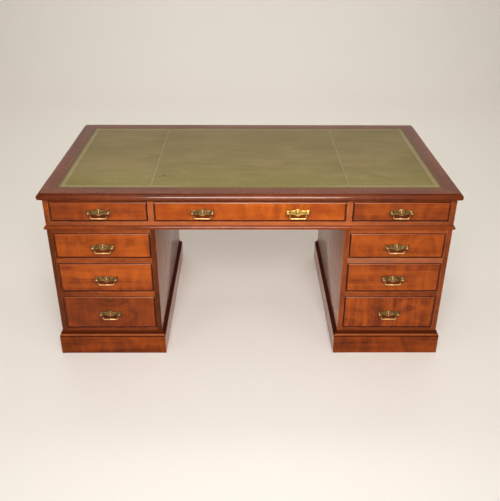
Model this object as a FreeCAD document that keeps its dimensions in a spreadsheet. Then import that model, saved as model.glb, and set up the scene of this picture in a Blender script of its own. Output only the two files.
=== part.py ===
import FreeCAD, Part
import math
import os
import re

import Sketcher

# Partners desk in mahogany with a leather top. The origin is on the floor under the middle of the desk,
# +X runs along the length, the side with the pedestal drawers faces -Y, and +Z is up. Millimetres.

DIMENSIONS = {
    # desk top
    "top_length": 1680,
    "top_depth": 900,
    "top_thickness": 24,
    "top_overhang": 20,
    "border_width": 68,
    "border_lip": 12,
    "border_lip_height": 4.5,
    "edge_cove": 6.5,
    "edge_ovolo": 7.5,
    "edge_step": 1.5,
    "leather_thickness": 1.5,
    "leather_side_width": 370,
    # case boards shared by the frieze and the pedestals
    "board_thickness": 22,
    "divider_thickness": 24,
    "spine_thickness": 18,
    "shelf_thickness": 18,
    "rail_depth": 60,
    "tenon_length": 8,
    "tenon_inset": 4.5,
    "housing_depth": 6,
    "runner_width": 24,
    "runner_height": 18,
    "kneehole_width": 768,
    # heights of the openings and of the rails between them, from the floor up
    "plinth_height": 81,
    "bottom_rail_top": 128,
    "lower_opening": 162,
    "middle_opening": 139,
    "upper_opening": 115,
    "rail_height": 24,
    "top_rail_height": 21,
    "frieze_rail_height": 32,
    "frieze_opening": 86,
    "frieze_top_rail": 15,
    # mouldings
    "waist_height": 14,
    "waist_proud": 8,
    "waist_flat": 2,
    "waist_nose": 4,
    "waist_round": 13,
    "plinth_proud": 13,
    "plinth_under": 20,
    "plinth_moulding": 34,
    "plinth_lip": 11,
    "plinth_ease": 1.5,
    "plinth_cove": 26,
    # dowels between the frieze and the pedestals
    "dowel_radius": 6,
    "dowel_length": 30,
    "dowel_spread": 150,
    # drawers
    "drawer_gap": 1.2,
    "drawer_front": 20,
    "drawer_side": 10,
    "drawer_back": 10,
    "drawer_bottom": 6,
    "drawer_length": 400,
    "drawer_lift": 0.5,
    "drawer_headroom": 7,
    "bottom_rise": 9,
    "bottom_groove": 5,
    "back_drop": 4,
    "dovetail_lap": 13,
    "pin_narrow": 0.10,
    "pin_wide": 0.18,
    "bead_width": 5,
    "bead_proud": 2.5,
    "bead_set": 6,
    "bead_round": 2.8,
    # bail handles
    "frieze_handle_drop": 2,
    "pedestal_handle_drop": 5.5,
    "centre_handle_offset": 190,
    "plate_thickness": 2,
    "plate_ear": 39.5,
    "plate_shoulder": 10.5,
    "plate_lobe": 20,
    "ear_round": 10.6,
    "scoop_round": 15.3,
    "lobe_round": 52,
    "boss_length": 11,
    "boss_radius": 6,
    "boss_round": 6.3,
    "boss_height": 4,
    "post_spread": 40,
    "post_reach": 12,
    "post_ball": 4.5,
    "post_neck": 3,
    "post_flange": 6,
    "flange_height": 1.5,
    "stem_radius": 2.4,
    "stem_hole": 2.5,
    "stem_end": 6,
    "nut_size": 5.5,
    "nut_height": 4,
    "nut_hole": 2.45,
    "bail_leg": 32.6,
    "bail_drop": 23,
    "bail_bend": 8,
    "bail_radius": 2.5,
    "pin_radius": 1.6,
    "pin_clearance": 0.05,
    "pin_reach": 39.2,
    # locks of the lowest drawers
    "lock_drop": 24,
    "lock_width": 60,
    "lock_height": 34,
    "lock_depth": 10,
    "keyhole_radius": 2.5,
    "escutcheon_radius": 6,
    "escutcheon_height": 1,
    # rear cupboards
    "shelf_level": 352,
    "shelf_gap": 1,
    "shelf_setback": 32,
    "ledge_width": 20,
    "door_thickness": 20,
    "door_stile": 56,
    "door_foot_rail": 72,
    "door_tenon": 30,
    "door_tenon_inset": 6.5,
    "panel_groove": 8,
    "panel_edge": 5,
    "panel_field": 5,
    "panel_bevel": 34,
    "panel_reveal": 1,
    "panel_set": 9,
    "hinge_gap": 2.6,
    "hinge_leaf": 1.2,
    "hinge_depth": 34,
    "hinge_half": 30,
    "hinge_knuckle": 3.6,
    "hinge_clear": 4.2,
    "hinge_split": 10,
    "hinge_play": 0.2,
    "hinge_pin": 1.5,
    "hinge_inset": 75,
    "knob_rose": 9,
    "knob_neck": 3.5,
    "knob_ball": 7.5,
    "knob_reach": 12,
    "knob_stem": 14,
}

# Derived places, as expressions of the dimensions above.
CASE_X = "(top_length / 2 - top_overhang)"
CASE_Y = "(top_depth / 2 - top_overhang)"
INNER_X = f"({CASE_X} - board_thickness)"
KNEE_X = "(kneehole_width / 2)"
PEDESTAL_X = f"(({CASE_X} + {KNEE_X}) / 2)"
PEDESTAL_HALF = f"(({CASE_X} - {KNEE_X}) / 2)"
BAY_HALF = f"({PEDESTAL_HALF} - board_thickness)"
RAIL_BACK = f"({CASE_Y} - rail_depth)"
SPINE_Y = "(spine_thickness / 2)"
DIVIDER_X = f"({KNEE_X} + divider_thickness)"
SIDE_BAY_X = f"(({INNER_X} + {DIVIDER_X}) / 2)"
SIDE_BAY = f"({INNER_X} - {DIVIDER_X})"

LOWER_Z = "bottom_rail_top"
MIDDLE_Z = "(bottom_rail_top + lower_opening + rail_height)"
UPPER_Z = f"({MIDDLE_Z} + middle_opening + rail_height)"
PEDESTAL_TOP = f"({UPPER_Z} + upper_opening + top_rail_height)"
FRIEZE_Z = f"({PEDESTAL_TOP} + frieze_rail_height)"
FRIEZE_TOP = f"({FRIEZE_Z} + frieze_opening)"
TOP_Z = f"({FRIEZE_TOP} + frieze_top_rail)"

X_AXIS = FreeCAD.Vector(1, 0, 0)
Y_AXIS = FreeCAD.Vector(0, 1, 0)
Z_AXIS = FreeCAD.Vector(0, 0, 1)
ROD_TURNS = {
    "X": FreeCAD.Rotation(Y_AXIS, 90),
    "Y": FreeCAD.Rotation(X_AXIS, -90),
    "Z": FreeCAD.Rotation(),
}
HALF_TURN = FreeCAD.Rotation(Z_AXIS, 180)
ON_EDGE = FreeCAD.Rotation(X_AXIS, 90)

doc = FreeCAD.newDocument("partners_desk")
dims = doc.addObject("Spreadsheet::Sheet", "dims")
for row, (alias, number) in enumerate(DIMENSIONS.items(), start=1):
    dims.set(f"A{row}", alias)
    dims.set(f"B{row}", str(number))
    dims.setAlias(f"B{row}", alias)
doc.recompute()


def bound(text):
    """An expression on the sheet's cells, from one written with the bare dimension names."""
    return re.sub(r"[a-z_]+", lambda word: f"dims.{word[0]}" if word[0] in DIMENSIONS else word[0], str(text))


def value(text):
    return float(dims.evalExpression(bound(text)))


def span(side, low, high):
    """A range of X measured outwards from the middle, on the right (side 1) or the left (side -1)."""
    return (low, high) if side > 0 else (f"-({high})", f"-({low})")


def both(half):
    return f"-({half})", half


def place(piece, x="0", y="0", z="0", turn=None):
    if turn is not None:
        piece.Placement = FreeCAD.Placement(FreeCAD.Vector(), turn)
    for axis, text in zip("xyz", (x, y, z)):
        piece.setExpression(f"Placement.Base.{axis}", bound(text))
    return piece


def board(name, x, y, z):
    """A straight board that fills the ranges x, y and z, each given as (low, high)."""
    piece = doc.addObject("Part::Box", name)
    for size, (low, high) in zip(("Length", "Width", "Height"), (x, y, z)):
        piece.setExpression(size, bound(f"({high}) - ({low})"))
    return place(piece, x[0], y[0], z[0])


def rod(name, radius, length, axis, x="0", y="0", z="0"):
    piece = doc.addObject("Part::Cylinder", name)
    piece.setExpression("Radius", bound(radius))
    piece.setExpression("Height", bound(length))
    return place(piece, x, y, z, ROD_TURNS[axis])


def ball(name, radius, x="0", y="0", z="0"):
    piece = doc.addObject("Part::Sphere", name)
    piece.setExpression("Radius", bound(radius))
    return place(piece, x, y, z)


def fuse(name, pieces):
    piece = doc.addObject("Part::MultiFuse", name)
    piece.Shapes = pieces
    return piece


def cut(name, base, tools):
    piece = doc.addObject("Part::Cut", name)
    piece.Base = base
    piece.Tool = tools[0] if len(tools) == 1 else fuse(f"{name}_tools", tools)
    return piece


def group(name, pieces):
    """Separate solids held together in one object."""
    piece = doc.addObject("Part::Compound", name)
    piece.Links = pieces
    return piece


def copy_at(name, pieces, x="0", y="0", z="0", turn=None):
    return place(group(name, pieces), x, y, z, turn)


def sketch_on(body, name, role):
    sketch = body.newObject("Sketcher::SketchObject", name)
    plane = next(feature for feature in body.Origin.OriginFeatures if feature.Role == role)
    sketch.AttachmentSupport = [(plane, "")]
    sketch.MapMode = "FlatFace"
    return sketch


def pin_point(sketch, index, end, x, y):
    """Hold one end of an edge at x, y."""
    for kind, axis, text in (("DistanceX", -2, x), ("DistanceY", -1, y)):
        number = value(text)
        if abs(number) < 1e-9:
            sketch.addConstraint(Sketcher.Constraint("PointOnObject", index, end, axis))
            continue
        at = sketch.addConstraint(Sketcher.Constraint(kind, -1, 1, index, end, number))
        sketch.setExpression(f"Constraints[{at}]", bound(text))


def set_radius(sketch, index, radius):
    at = sketch.addConstraint(Sketcher.Constraint("Radius", index, value(radius)))
    sketch.setExpression(f"Constraints[{at}]", bound(radius))


def outline(sketch, start, steps, closed=True):
    """Draw lines and arcs. A step is (x, y), or (x, y, radius, turn) with turn 1 to the left, -1 to the right."""
    corners = [start] + [step[:2] for step in steps]
    spots = [FreeCAD.Vector(value(x), value(y), 0) for x, y in corners]
    edges = []
    for step, here, there in zip(steps, spots, spots[1:]):
        if len(step) == 2:
            edges.append((sketch.addGeometry(Part.LineSegment(here, there)), 1, 2))
            continue
        radius, turn = value(step[2]), step[3]
        chord = there - here
        right = FreeCAD.Vector(chord.y, -chord.x, 0).normalize()
        rise = math.sqrt(radius ** 2 - (chord.Length / 2) ** 2)
        centre = (here + there) / 2 - right * (rise * turn)
        first, last = (here, there) if turn > 0 else (there, here)
        angles = [math.atan2(spot.y - centre.y, spot.x - centre.x) for spot in (first, last)]
        arc = Part.ArcOfCircle(Part.Circle(centre, Z_AXIS, radius), *angles)
        index = sketch.addGeometry(arc)
        edges.append((index, 1, 2) if turn > 0 else (index, 2, 1))
        set_radius(sketch, index, step[2])
    joints = list(zip(edges, edges[1:]))
    if closed:
        joints.append((edges[-1], edges[0]))
    for (one, _, end), (other, begin, _) in joints:
        sketch.addConstraint(Sketcher.Constraint("Coincident", one, end, other, begin))
    for (index, begin, _), (x, y) in zip(edges, corners):
        pin_point(sketch, index, begin, x, y)
    if not closed:
        pin_point(sketch, edges[-1][0], edges[-1][2], *corners[-1])


def circle(sketch, x, y, radius):
    centre = FreeCAD.Vector(value(x), value(y), 0)
    index = sketch.addGeometry(Part.Circle(centre, Z_AXIS, value(radius)))
    pin_point(sketch, index, 3, x, y)
    set_radius(sketch, index, radius)


def new_body(name):
    return doc.addObject("PartDesign::Body", name)


def pad(body, sketch, length, side="One side"):
    feature = body.newObject("PartDesign::Pad", f"{sketch.Name}_pad")
    feature.Profile = sketch
    feature.SideType = side
    feature.setExpression("Length", bound(length))
    return feature


def revolve(body, sketch):
    feature = body.newObject("PartDesign::Revolution", f"{sketch.Name}_turned")
    feature.Profile = sketch
    feature.ReferenceAxis = (sketch, ["V_Axis"])
    feature.Angle = 360
    return feature


def mitred_strip(name, start, steps, length, width):
    """A moulded strip along X, mitred at both ends. Its section has Y inwards and Z up."""
    body = new_body(name)
    section = sketch_on(body, f"{name}_section", "YZ_Plane")
    outline(section, start, steps + [start])
    pad(body, section, length, "Symmetric")
    mitres = sketch_on(body, f"{name}_mitres", "XY_Plane")
    end = f"(({length}) / 2)"
    outline(mitres, (end, "0"), [(end, width), (f"{end} - {width}", width), (end, "0")])
    outline(mitres, (f"-{end}", "0"), [(f"{width} - {end}", width), (f"-{end}", width), (f"-{end}", "0")])
    pocket = body.newObject("PartDesign::Pocket", f"{name}_mitred")
    pocket.Profile = mitres
    pocket.SideType = "Symmetric"
    pocket.Type = "ThroughAll"
    return body


def mitred_frame(name, start, steps, length, depth, width, upright=False):
    """Four mitred strips round a rectangle centred on the origin, lying flat or standing upright."""
    long_strip = mitred_strip(f"{name}_long", start, steps, length, width)
    short_strip = mitred_strip(f"{name}_short", start, steps, depth, width)
    far_x, far_y = f"({length}) / 2", f"({depth}) / 2"
    strips = []
    for strip, angle, x, y in (
        (long_strip, 0, "0", f"-{far_y}"),
        (long_strip, 180, "0", far_y),
        (short_strip, 90, far_x, "0"),
        (short_strip, -90, f"-{far_x}", "0"),
    ):
        label = f"{name}_strip_{len(strips) + 1}"
        if upright:
            turn = FreeCAD.Rotation(Y_AXIS, -angle) * ON_EDGE
            strips.append(copy_at(label, [strip], x, "0", y, turn))
        else:
            strips.append(copy_at(label, [strip], x, y, "0", FreeCAD.Rotation(Z_AXIS, angle)))
    return strips


def tenoned_rail(name, half, y, z):
    """A rail between two boards at X -half and +half, with a stub tenon let into each."""
    rail = board(f"{name}_rail", both(half), y, z)
    tenon = board(
        f"{name}_tenon",
        both(f"{half} + tenon_length"),
        (f"({y[0]}) + tenon_inset", f"({y[1]}) - tenon_inset"),
        (f"({z[0]}) + tenon_inset", f"({z[1]}) - tenon_inset"),
    )
    return fuse(name, [rail, tenon])


def front_and_rear(name, half, depth, z):
    """The same tenoned rail at the front and at the rear of the case."""
    return [
        tenoned_rail(f"{name}_front", half, (f"-{CASE_Y}", f"{depth} - {CASE_Y}"), z),
        tenoned_rail(f"{name}_rear", half, (f"{CASE_Y} - {depth}", CASE_Y), z),
    ]


nodes = {}


def finish_node(name, pieces):
    """Gather pieces under the name of one sub-part."""
    nodes[name] = group(name, pieces)
    return nodes[name]


# Top: four mitred rails with an ogee edge, the ground panel on their lip, and three leather skins.
lip_edge = "border_width + border_lip"
cove_foot = "top_thickness - edge_step - edge_cove"
border_section = [
    (lip_edge, "0"),
    (lip_edge, "border_lip_height"),
    ("border_width", "border_lip_height"),
    ("border_width", "top_thickness"),
    ("edge_ovolo + edge_cove", "top_thickness"),
    ("edge_ovolo + edge_cove", "top_thickness - edge_step"),
    ("edge_ovolo", cove_foot, "edge_cove", -1),
    ("0", f"{cove_foot} - edge_ovolo", "edge_ovolo", 1),
    ("0", "edge_step"),
]
border = mitred_frame("border", ("edge_step", "0"), border_section, "top_length", "top_depth", f"({lip_edge})")
place(finish_node("top_frame", border), z=TOP_Z)

leather_x = "(top_length / 2 - border_width)"
leather_y = "(top_depth / 2 - border_width)"
leather_seam = f"({leather_x} - leather_side_width)"
desk_height = f"({TOP_Z} + top_thickness)"
leather_z = (f"{desk_height} - leather_thickness", desk_height)
ground_z = (f"{TOP_Z} + border_lip_height", leather_z[0])
finish_node("top_panel", [board("ground_panel", both(leather_x), both(leather_y), ground_z)])
leather_spans = {
    "left_leather": span(-1, leather_seam, leather_x),
    "centre_leather": both(leather_seam),
    "right_leather": span(1, leather_seam, leather_x),
}
finish_node("leather_panels", [board(name, x, both(leather_y), leather_z) for name, x in leather_spans.items()])

# Pedestal carcass, made once about X 0 and set down on the left and on the right.
inside_z = (LOWER_Z, f"{PEDESTAL_TOP} - shelf_thickness")
housed = both(f"{BAY_HALF} + housing_depth")
pedestal_boards = [
    board("pedestal_top", housed, both(RAIL_BACK), (inside_z[1], PEDESTAL_TOP)),
    board("pedestal_bottom", housed, both(f"{CASE_Y} - board_thickness"),
          (f"{LOWER_Z} - shelf_thickness", LOWER_Z)),
    board("pedestal_partition", housed, both(SPINE_Y), inside_z),
]
dowels = [
    rod("dowel", "dowel_radius", "dowel_length", "Z", x, y, f"{PEDESTAL_TOP} - dowel_length / 2")
    for x in both("dowel_spread") for y in both(f"({CASE_Y} - rail_depth / 2)")
]
head_z = (f"{PEDESTAL_TOP} - top_rail_height", PEDESTAL_TOP)
head_rails = [
    cut(f"{rail.Name}_bored", rail, [group(f"{rail.Name}_dowels", dowels)])
    for rail in front_and_rear("head_rail", BAY_HALF, "rail_depth", head_z)
]
foot_rails = front_and_rear("foot_rail", BAY_HALF, "board_thickness", ("plinth_height", LOWER_Z))
drawer_rails = [
    tenoned_rail("drawer_rail", BAY_HALF, (f"-{CASE_Y}", f"-{RAIL_BACK}"), (f"{level} - rail_height", level))
    for level in (MIDDLE_Z, UPPER_Z)
]
pedestal_rails = head_rails + foot_rails + drawer_rails
carcass = fuse("carcass_joints", pedestal_boards + pedestal_rails)
pedestal_sides = [
    cut("pedestal_side",
        board("side_board", span(side, BAY_HALF, PEDESTAL_HALF), both(CASE_Y), ("plinth_height", PEDESTAL_TOP)),
        [carcass])
    for side in (-1, 1)
]
pedestal_runners = [
    board("pedestal_runner", span(side, f"{BAY_HALF} - runner_width", BAY_HALF), (f"-{RAIL_BACK}", f"-{SPINE_Y}"),
          (f"{level} - runner_height", level))
    for level in (MIDDLE_Z, UPPER_Z) for side in (-1, 1)
]

# Plinth: mitred boards under the carcass, and a coved moulding round its foot.
plinth_x = f"(2 * ({PEDESTAL_HALF} + plinth_proud))"
plinth_y = f"(2 * ({CASE_Y} + plinth_proud))"
plinth_board = "(plinth_proud + plinth_under)"
plinth_section = [(plinth_board, "0"), (plinth_board, "plinth_height"), ("plinth_ease", "plinth_height"),
                  ("0", "plinth_height - plinth_ease")]
cove_section = [
    ("plinth_proud", "0"),
    ("plinth_proud", "plinth_moulding"),
    ("plinth_proud - plinth_ease", "plinth_moulding"),
    ("plinth_ease", "plinth_lip", "plinth_cove", -1),
    ("0", "plinth_lip - plinth_ease"),
    ("0", "plinth_ease"),
]
plinth_boards = mitred_frame("plinth", ("0", "0"), plinth_section, plinth_x, plinth_y, plinth_board)
cove = mitred_frame("cove", ("plinth_ease", "0"), cove_section, plinth_x, plinth_y, "plinth_proud")
plinth = plinth_boards + [copy_at("plinth_cove_frame", cove, z="plinth_height")]

for side, label in ((-1, "left"), (1, "right")):
    for part, pieces in (("pedestal_sides", pedestal_sides), ("pedestal_boards", pedestal_boards),
                         ("pedestal_rails", pedestal_rails), ("plinth", plinth)):
        place(finish_node(f"{label}_{part}", pieces), x=f"{side} * {PEDESTAL_X}")
both_dowels = [copy_at(f"dowel_set_{side}", dowels, x=f"{side} * {PEDESTAL_X}") for side in ("-1", "1")]
finish_node("locating_dowels", both_dowels)

# Frieze: end boards, rails, dividers and the spine between front and rear drawers.
base_rails = [
    cut(f"{rail.Name}_bored", rail, [nodes["locating_dowels"]])
    for rail in front_and_rear("frieze_base", INNER_X, "rail_depth", (PEDESTAL_TOP, FRIEZE_Z))
]
crown_rails = front_and_rear("frieze_crown", INNER_X, "rail_depth", (FRIEZE_TOP, TOP_Z))
spine = board("spine", both(f"{INNER_X} + housing_depth"), both(SPINE_Y), (PEDESTAL_TOP, TOP_Z))
dividers = [
    board("divider", span(side, KNEE_X, DIVIDER_X), y, (FRIEZE_Z, FRIEZE_TOP))
    for side in (-1, 1) for y in ((f"-{CASE_Y}", f"-{SPINE_Y}"), (SPINE_Y, CASE_Y))
]
finish_node("frieze_frame", base_rails + crown_rails + [spine] + dividers)
frieze_joints = fuse("frieze_joints", base_rails + crown_rails + [spine])
finish_node("frieze_ends", [
    cut("frieze_end", board("end_board", span(side, INNER_X, CASE_X), both(CASE_Y), (PEDESTAL_TOP, TOP_Z)),
        [frieze_joints])
    for side in (-1, 1)
])

waist_section = [
    ("waist_proud", "0"),
    ("waist_proud", "waist_height"),
    ("waist_proud - waist_flat", "waist_height"),
    ("0", "waist_nose", "waist_round", 1),
]
waist = mitred_frame("waist", ("0", "0"), waist_section, f"(2 * ({CASE_X} + waist_proud))",
                     f"(2 * ({CASE_Y} + waist_proud))", "waist_proud")
place(finish_node("waist_moulding", waist), z=PEDESTAL_TOP)

# Runners under the drawer sides and kickers above the frieze drawers.
frieze_tracks = [
    board("frieze_track", span(side, low, high), y, z)
    for low, high in ((f"{KNEE_X} - runner_width", f"{DIVIDER_X} + runner_width"),
                      (f"{INNER_X} - runner_width", INNER_X))
    for z in ((f"{FRIEZE_Z} - runner_height", FRIEZE_Z), (FRIEZE_TOP, TOP_Z))
    for y in ((f"-{RAIL_BACK}", f"-{SPINE_Y}"), (SPINE_Y, RAIL_BACK))
    for side in (-1, 1)
]
runner_sets = [copy_at(f"runner_set_{side}", pedestal_runners, x=f"{side} * {PEDESTAL_X}") for side in ("-1", "1")]
finish_node("drawer_runners", frieze_tracks + runner_sets)


def dovetail_pins(name, x, end, root, tails, foot, height):
    """Wedges between the tails of a drawer side, narrow at its end and wide at the root of the tails."""
    pins = []
    pitch = f"(({height}) / {tails})"
    flip = value(end) > value(root)
    ends = ("pin_wide", "pin_narrow") if flip else ("pin_narrow", "pin_wide")
    near, far = (root, end) if flip else (end, root)
    for count in range(tails + 1):
        middle = f"{foot} + {count} * {pitch}"
        wedge = doc.addObject("Part::Wedge", f"{name}_pin")
        sizes = {"Xmin": x[0], "X2min": x[0], "Xmax": x[1], "X2max": x[1], "Ymin": near, "Ymax": far}
        for prefix, share in zip(("Z", "Z2"), ends):
            sizes[f"{prefix}min"] = f"{middle} - {share} * {pitch}"
            sizes[f"{prefix}max"] = f"{middle} + {share} * {pitch}"
        for size, text in sizes.items():
            wedge.setExpression(size, bound(text))
        pins.append(wedge)
    return pins


def make_drawer(name, width, height, tails, handles, handle_drop, keyhole=False):
    """Front, sides, back, bottom and beads of a drawer: front face at Y 0, opening's foot at Z 0, centred on X."""
    half = f"(({width}) / 2 - drawer_gap)"
    inner = f"({half} - drawer_side)"
    foot = "drawer_lift"
    side_height = f"(({height}) - drawer_headroom)"
    tail_end = "(drawer_front - dovetail_lap)"
    back_face = "(drawer_length - drawer_back)"
    floor_z = (f"{foot} + bottom_rise", f"{foot} + bottom_rise + drawer_bottom")

    bottom = board(f"{name}_bottom", both(f"{inner} + bottom_groove"),
                   ("drawer_front - bottom_groove", "drawer_length"), floor_z)
    sides = []
    for side in (-1, 1):
        x = span(side, inner, half)
        blank = board(f"{name}_side_blank", x, (tail_end, "drawer_length"), (foot, f"{foot} + {side_height}"))
        pins = dovetail_pins(name, x, tail_end, "drawer_front", tails, foot, side_height)
        pins += dovetail_pins(name, x, "drawer_length", back_face, tails, foot, side_height)
        sides.append(cut(f"{name}_side", blank, [bottom] + pins))

    back_blank = board(f"{name}_back_blank", both(half), (back_face, "drawer_length"),
                       (floor_z[1], f"{foot} + {side_height} - back_drop"))
    back = cut(f"{name}_back", back_blank, sides)

    bead_foot = "bead_set + bead_proud - bead_width / 2"
    bead_section = [("bead_width", "0"), ("bead_width", bead_foot), ("0", bead_foot, "bead_round", 1)]
    strips = mitred_frame(f"{name}_bead", ("0", "0"), bead_section, f"(2 * {half})",
                          f"(({height}) - 2 * drawer_gap)", "bead_width", upright=True)
    beads = copy_at(f"{name}_beads", strips, y="bead_set", z=f"({height}) / 2")

    front_blank = board(f"{name}_front_blank", both(half), ("0", "drawer_front"),
                        ("drawer_gap", f"({height}) - drawer_gap"))
    handle_z = f"({height}) / 2 - {handle_drop}"
    holes = [
        rod(f"{name}_post_hole", "stem_hole", "drawer_front", "Y", f"{x} + {post}", "0", handle_z)
        for x in handles for post in both("post_spread")
    ]
    if keyhole:
        holes.append(rod(f"{name}_keyhole", "keyhole_radius", "drawer_front", "Y", "0", "0",
                         f"({height}) - lock_drop"))
    front = cut(f"{name}_front", front_blank, sides + [bottom, beads] + holes)
    return [front, back, bottom, beads] + sides


def make_plate():
    """The shaped back plate of a handle, with an oval boss and two holes for the posts."""
    body = new_body("back_plate")
    shape = sketch_on(body, "plate_outline", "XZ_Plane")
    ear, lobe, rise = "plate_ear", "plate_lobe", "plate_shoulder"
    scoop, dome = "scoop_round", "lobe_round"
    outline(shape, (ear, f"-{rise}"), [
        (ear, rise, "ear_round", 1),
        (lobe, rise, scoop, -1),
        (f"-{lobe}", rise, dome, 1),
        (f"-{ear}", rise, scoop, -1),
        (f"-{ear}", f"-{rise}", "ear_round", 1),
        (f"-{lobe}", f"-{rise}", scoop, -1),
        (lobe, f"-{rise}", dome, 1),
        (ear, f"-{rise}", scoop, -1),
    ])
    for post in both("post_spread"):
        circle(shape, post, "0", "stem_hole")
    pad(body, shape, "plate_thickness")
    boss = sketch_on(body, "plate_boss", "XZ_Plane")
    reach, half = "boss_length", "boss_radius"
    outline(boss, (reach, f"-{half}"), [
        (reach, half, "boss_round", 1),
        (f"-{reach}", half),
        (f"-{reach}", f"-{half}", "boss_round", 1),
        (reach, f"-{half}"),
    ])
    pad(body, boss, "boss_height")
    return body


def make_post():
    """A turned post: threaded stem, flange, neck and a ball bored from -X for the end of the bail."""
    body = new_body("handle_post")
    shape = sketch_on(body, "post_profile", "XY_Plane")
    face = "-plate_thickness"
    flange_top = f"{face} - flange_height"
    neck_end = "-(post_reach - sqrt(post_ball^2 - post_neck^2))"
    outline(shape, ("0", "drawer_front + stem_end"), [
        ("stem_radius", "drawer_front + stem_end"),
        ("stem_radius", face),
        ("post_flange", face),
        ("post_flange", flange_top),
        ("post_neck", f"{flange_top} - flange_height"),
        ("post_neck", neck_end),
        ("0", "-(post_reach + post_ball)", "post_ball", -1),
        ("0", "drawer_front + stem_end"),
    ])
    revolve(body, shape)
    bore = sketch_on(body, "post_bore", "YZ_Plane")
    circle(bore, "-post_reach", "0", "pin_radius + pin_clearance")
    pocket = body.newObject("PartDesign::Pocket", "post_bored")
    pocket.Profile = bore
    pocket.Type = "ThroughAll"
    return body


def make_nut():
    blank = doc.addObject("Part::Prism", "nut_blank")
    blank.Polygon = 4
    blank.setExpression("Circumradius", bound("nut_size * sqrt(2)"))
    blank.setExpression("Height", bound("nut_height"))
    place(blank, y="drawer_front", turn=ROD_TURNS["Y"])
    return cut("post_nut", blank, [rod("nut_bore", "nut_hole", "nut_height", "Y", y="drawer_front")])


def make_bail():
    """The swinging bail: a bar bent down twice, with a pin turned out of the top of each leg."""
    body = new_body("bail_bar")
    section = sketch_on(body, "bail_section", "XY_Plane")
    circle(section, "bail_leg", "0", "bail_radius")
    path = sketch_on(body, "bail_path", "XZ_Plane")
    leg, foot = "bail_leg", "-(bail_drop - bail_bend)"
    outline(path, (leg, "0"), [
        (leg, foot),
        (f"{leg} - bail_bend", "-bail_drop", "bail_bend", -1),
        (f"-({leg} - bail_bend)", "-bail_drop"),
        (f"-{leg}", foot, "bail_bend", -1),
        (f"-{leg}", "0"),
    ], closed=False)
    pipe = body.newObject("PartDesign::AdditivePipe", "bail_pipe")
    pipe.Profile = section
    pipe.Spine = (path, [])
    pieces = [body]
    pin_length = f"(pin_reach - {leg})"
    for side, start in ((-1, "-pin_reach"), (1, leg)):
        pieces.append(ball("bail_knuckle", "bail_radius", f"{side} * {leg}"))
        pieces.append(rod("bail_pin", "pin_radius", pin_length, "X", start))
    return place(fuse("bail", pieces), y="-post_reach")


def make_lock(height):
    """Escutcheon on the face of the drawer front and lock case behind it, both open at the keyhole."""
    level = f"({height}) - lock_drop"
    rim = rod("escutcheon_blank", "escutcheon_radius", "escutcheon_height", "Y", "0", "-escutcheon_height", level)
    rim_hole = rod("escutcheon_hole", "keyhole_radius", "escutcheon_height", "Y", "0", "-escutcheon_height", level)
    case = board("lock_case", both("lock_width / 2"), ("drawer_front", "drawer_front + lock_depth"),
                 (f"{level} - lock_height / 2", f"{level} + lock_height / 2"))
    return [cut("escutcheon", rim, [rim_hole]), case]


# One set of handle pieces, copied to every drawer.
plate = make_plate()
post = make_post()
nut = make_nut()
bail = make_bail()
handle = [
    plate,
    copy_at("right_post", [post], x="post_spread"),
    copy_at("left_post", [post], x="-post_spread", turn=FreeCAD.Rotation(Y_AXIS, 180)),
    copy_at("right_nut", [nut], x="post_spread"),
    copy_at("left_nut", [nut], x="-post_spread"),
]

# Drawers of one size share their pieces.
single, pair = ["0"], list(both("centre_handle_offset"))
bay = f"(2 * {BAY_HALF})"
sizes = {
    "frieze_side": (SIDE_BAY, "frieze_opening", 2, single, "frieze_handle_drop"),
    "frieze_centre": ("kneehole_width", "frieze_opening", 2, pair, "frieze_handle_drop"),
    "upper": (bay, "upper_opening", 3, single, "pedestal_handle_drop"),
    "middle": (bay, "middle_opening", 3, single, "pedestal_handle_drop"),
    "lower": (bay, "lower_opening", 4, single, "pedestal_handle_drop"),
}
drawers = {name: make_drawer(f"{name}_drawer", *size, keyhole=name == "lower") for name, size in sizes.items()}
lock = make_lock("lower_opening")

# Every drawer's place: node, size, X of its middle, foot of its opening, and whether it opens to the rear.
drawer_places = [
    ("frieze_drawer_left", "frieze_side", f"-{SIDE_BAY_X}", FRIEZE_Z, False),
    ("frieze_drawer_centre", "frieze_centre", "0", FRIEZE_Z, False),
    ("frieze_drawer_right", "frieze_side", SIDE_BAY_X, FRIEZE_Z, False),
    ("left_drawer_top", "upper", f"-{PEDESTAL_X}", UPPER_Z, False),
    ("left_drawer_middle", "middle", f"-{PEDESTAL_X}", MIDDLE_Z, False),
    ("left_drawer_bottom", "lower", f"-{PEDESTAL_X}", LOWER_Z, False),
    ("right_drawer_top", "upper", PEDESTAL_X, UPPER_Z, False),
    ("right_drawer_middle", "middle", PEDESTAL_X, MIDDLE_Z, False),
    ("right_drawer_bottom", "lower", PEDESTAL_X, LOWER_Z, False),
    ("rear_drawer_left", "frieze_side", f"-{SIDE_BAY_X}", FRIEZE_Z, True),
    ("rear_drawer_centre", "frieze_centre", "0", FRIEZE_Z, True),
    ("rear_drawer_right", "frieze_side", SIDE_BAY_X, FRIEZE_Z, True),
]
for node, size, x, z, rear in drawer_places:
    turn = HALF_TURN if rear else FreeCAD.Rotation()
    face = CASE_Y if rear else f"-{CASE_Y}"
    _, height, _, handle_xs, handle_drop = sizes[size]
    handle_z = f"{z} + {height} / 2 - {handle_drop}"
    place(finish_node(node, drawers[size]), x, face, z, turn)
    brass = [copy_at(f"{node}_handle", handle, f"{x} + {offset}", face, handle_z, turn) for offset in handle_xs]
    if size == "lower":
        brass.append(copy_at(f"{node}_lock", lock, x, face, z, turn))
    finish_node(f"{node}_plate", brass)
    bail_names = [f"{node}_bail"] if len(handle_xs) == 1 else [f"{node}_left_bail", f"{node}_right_bail"]
    for name, offset in zip(bail_names, handle_xs):
        place(finish_node(name, [bail]), f"{x} + {offset}", face, handle_z, turn)

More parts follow.
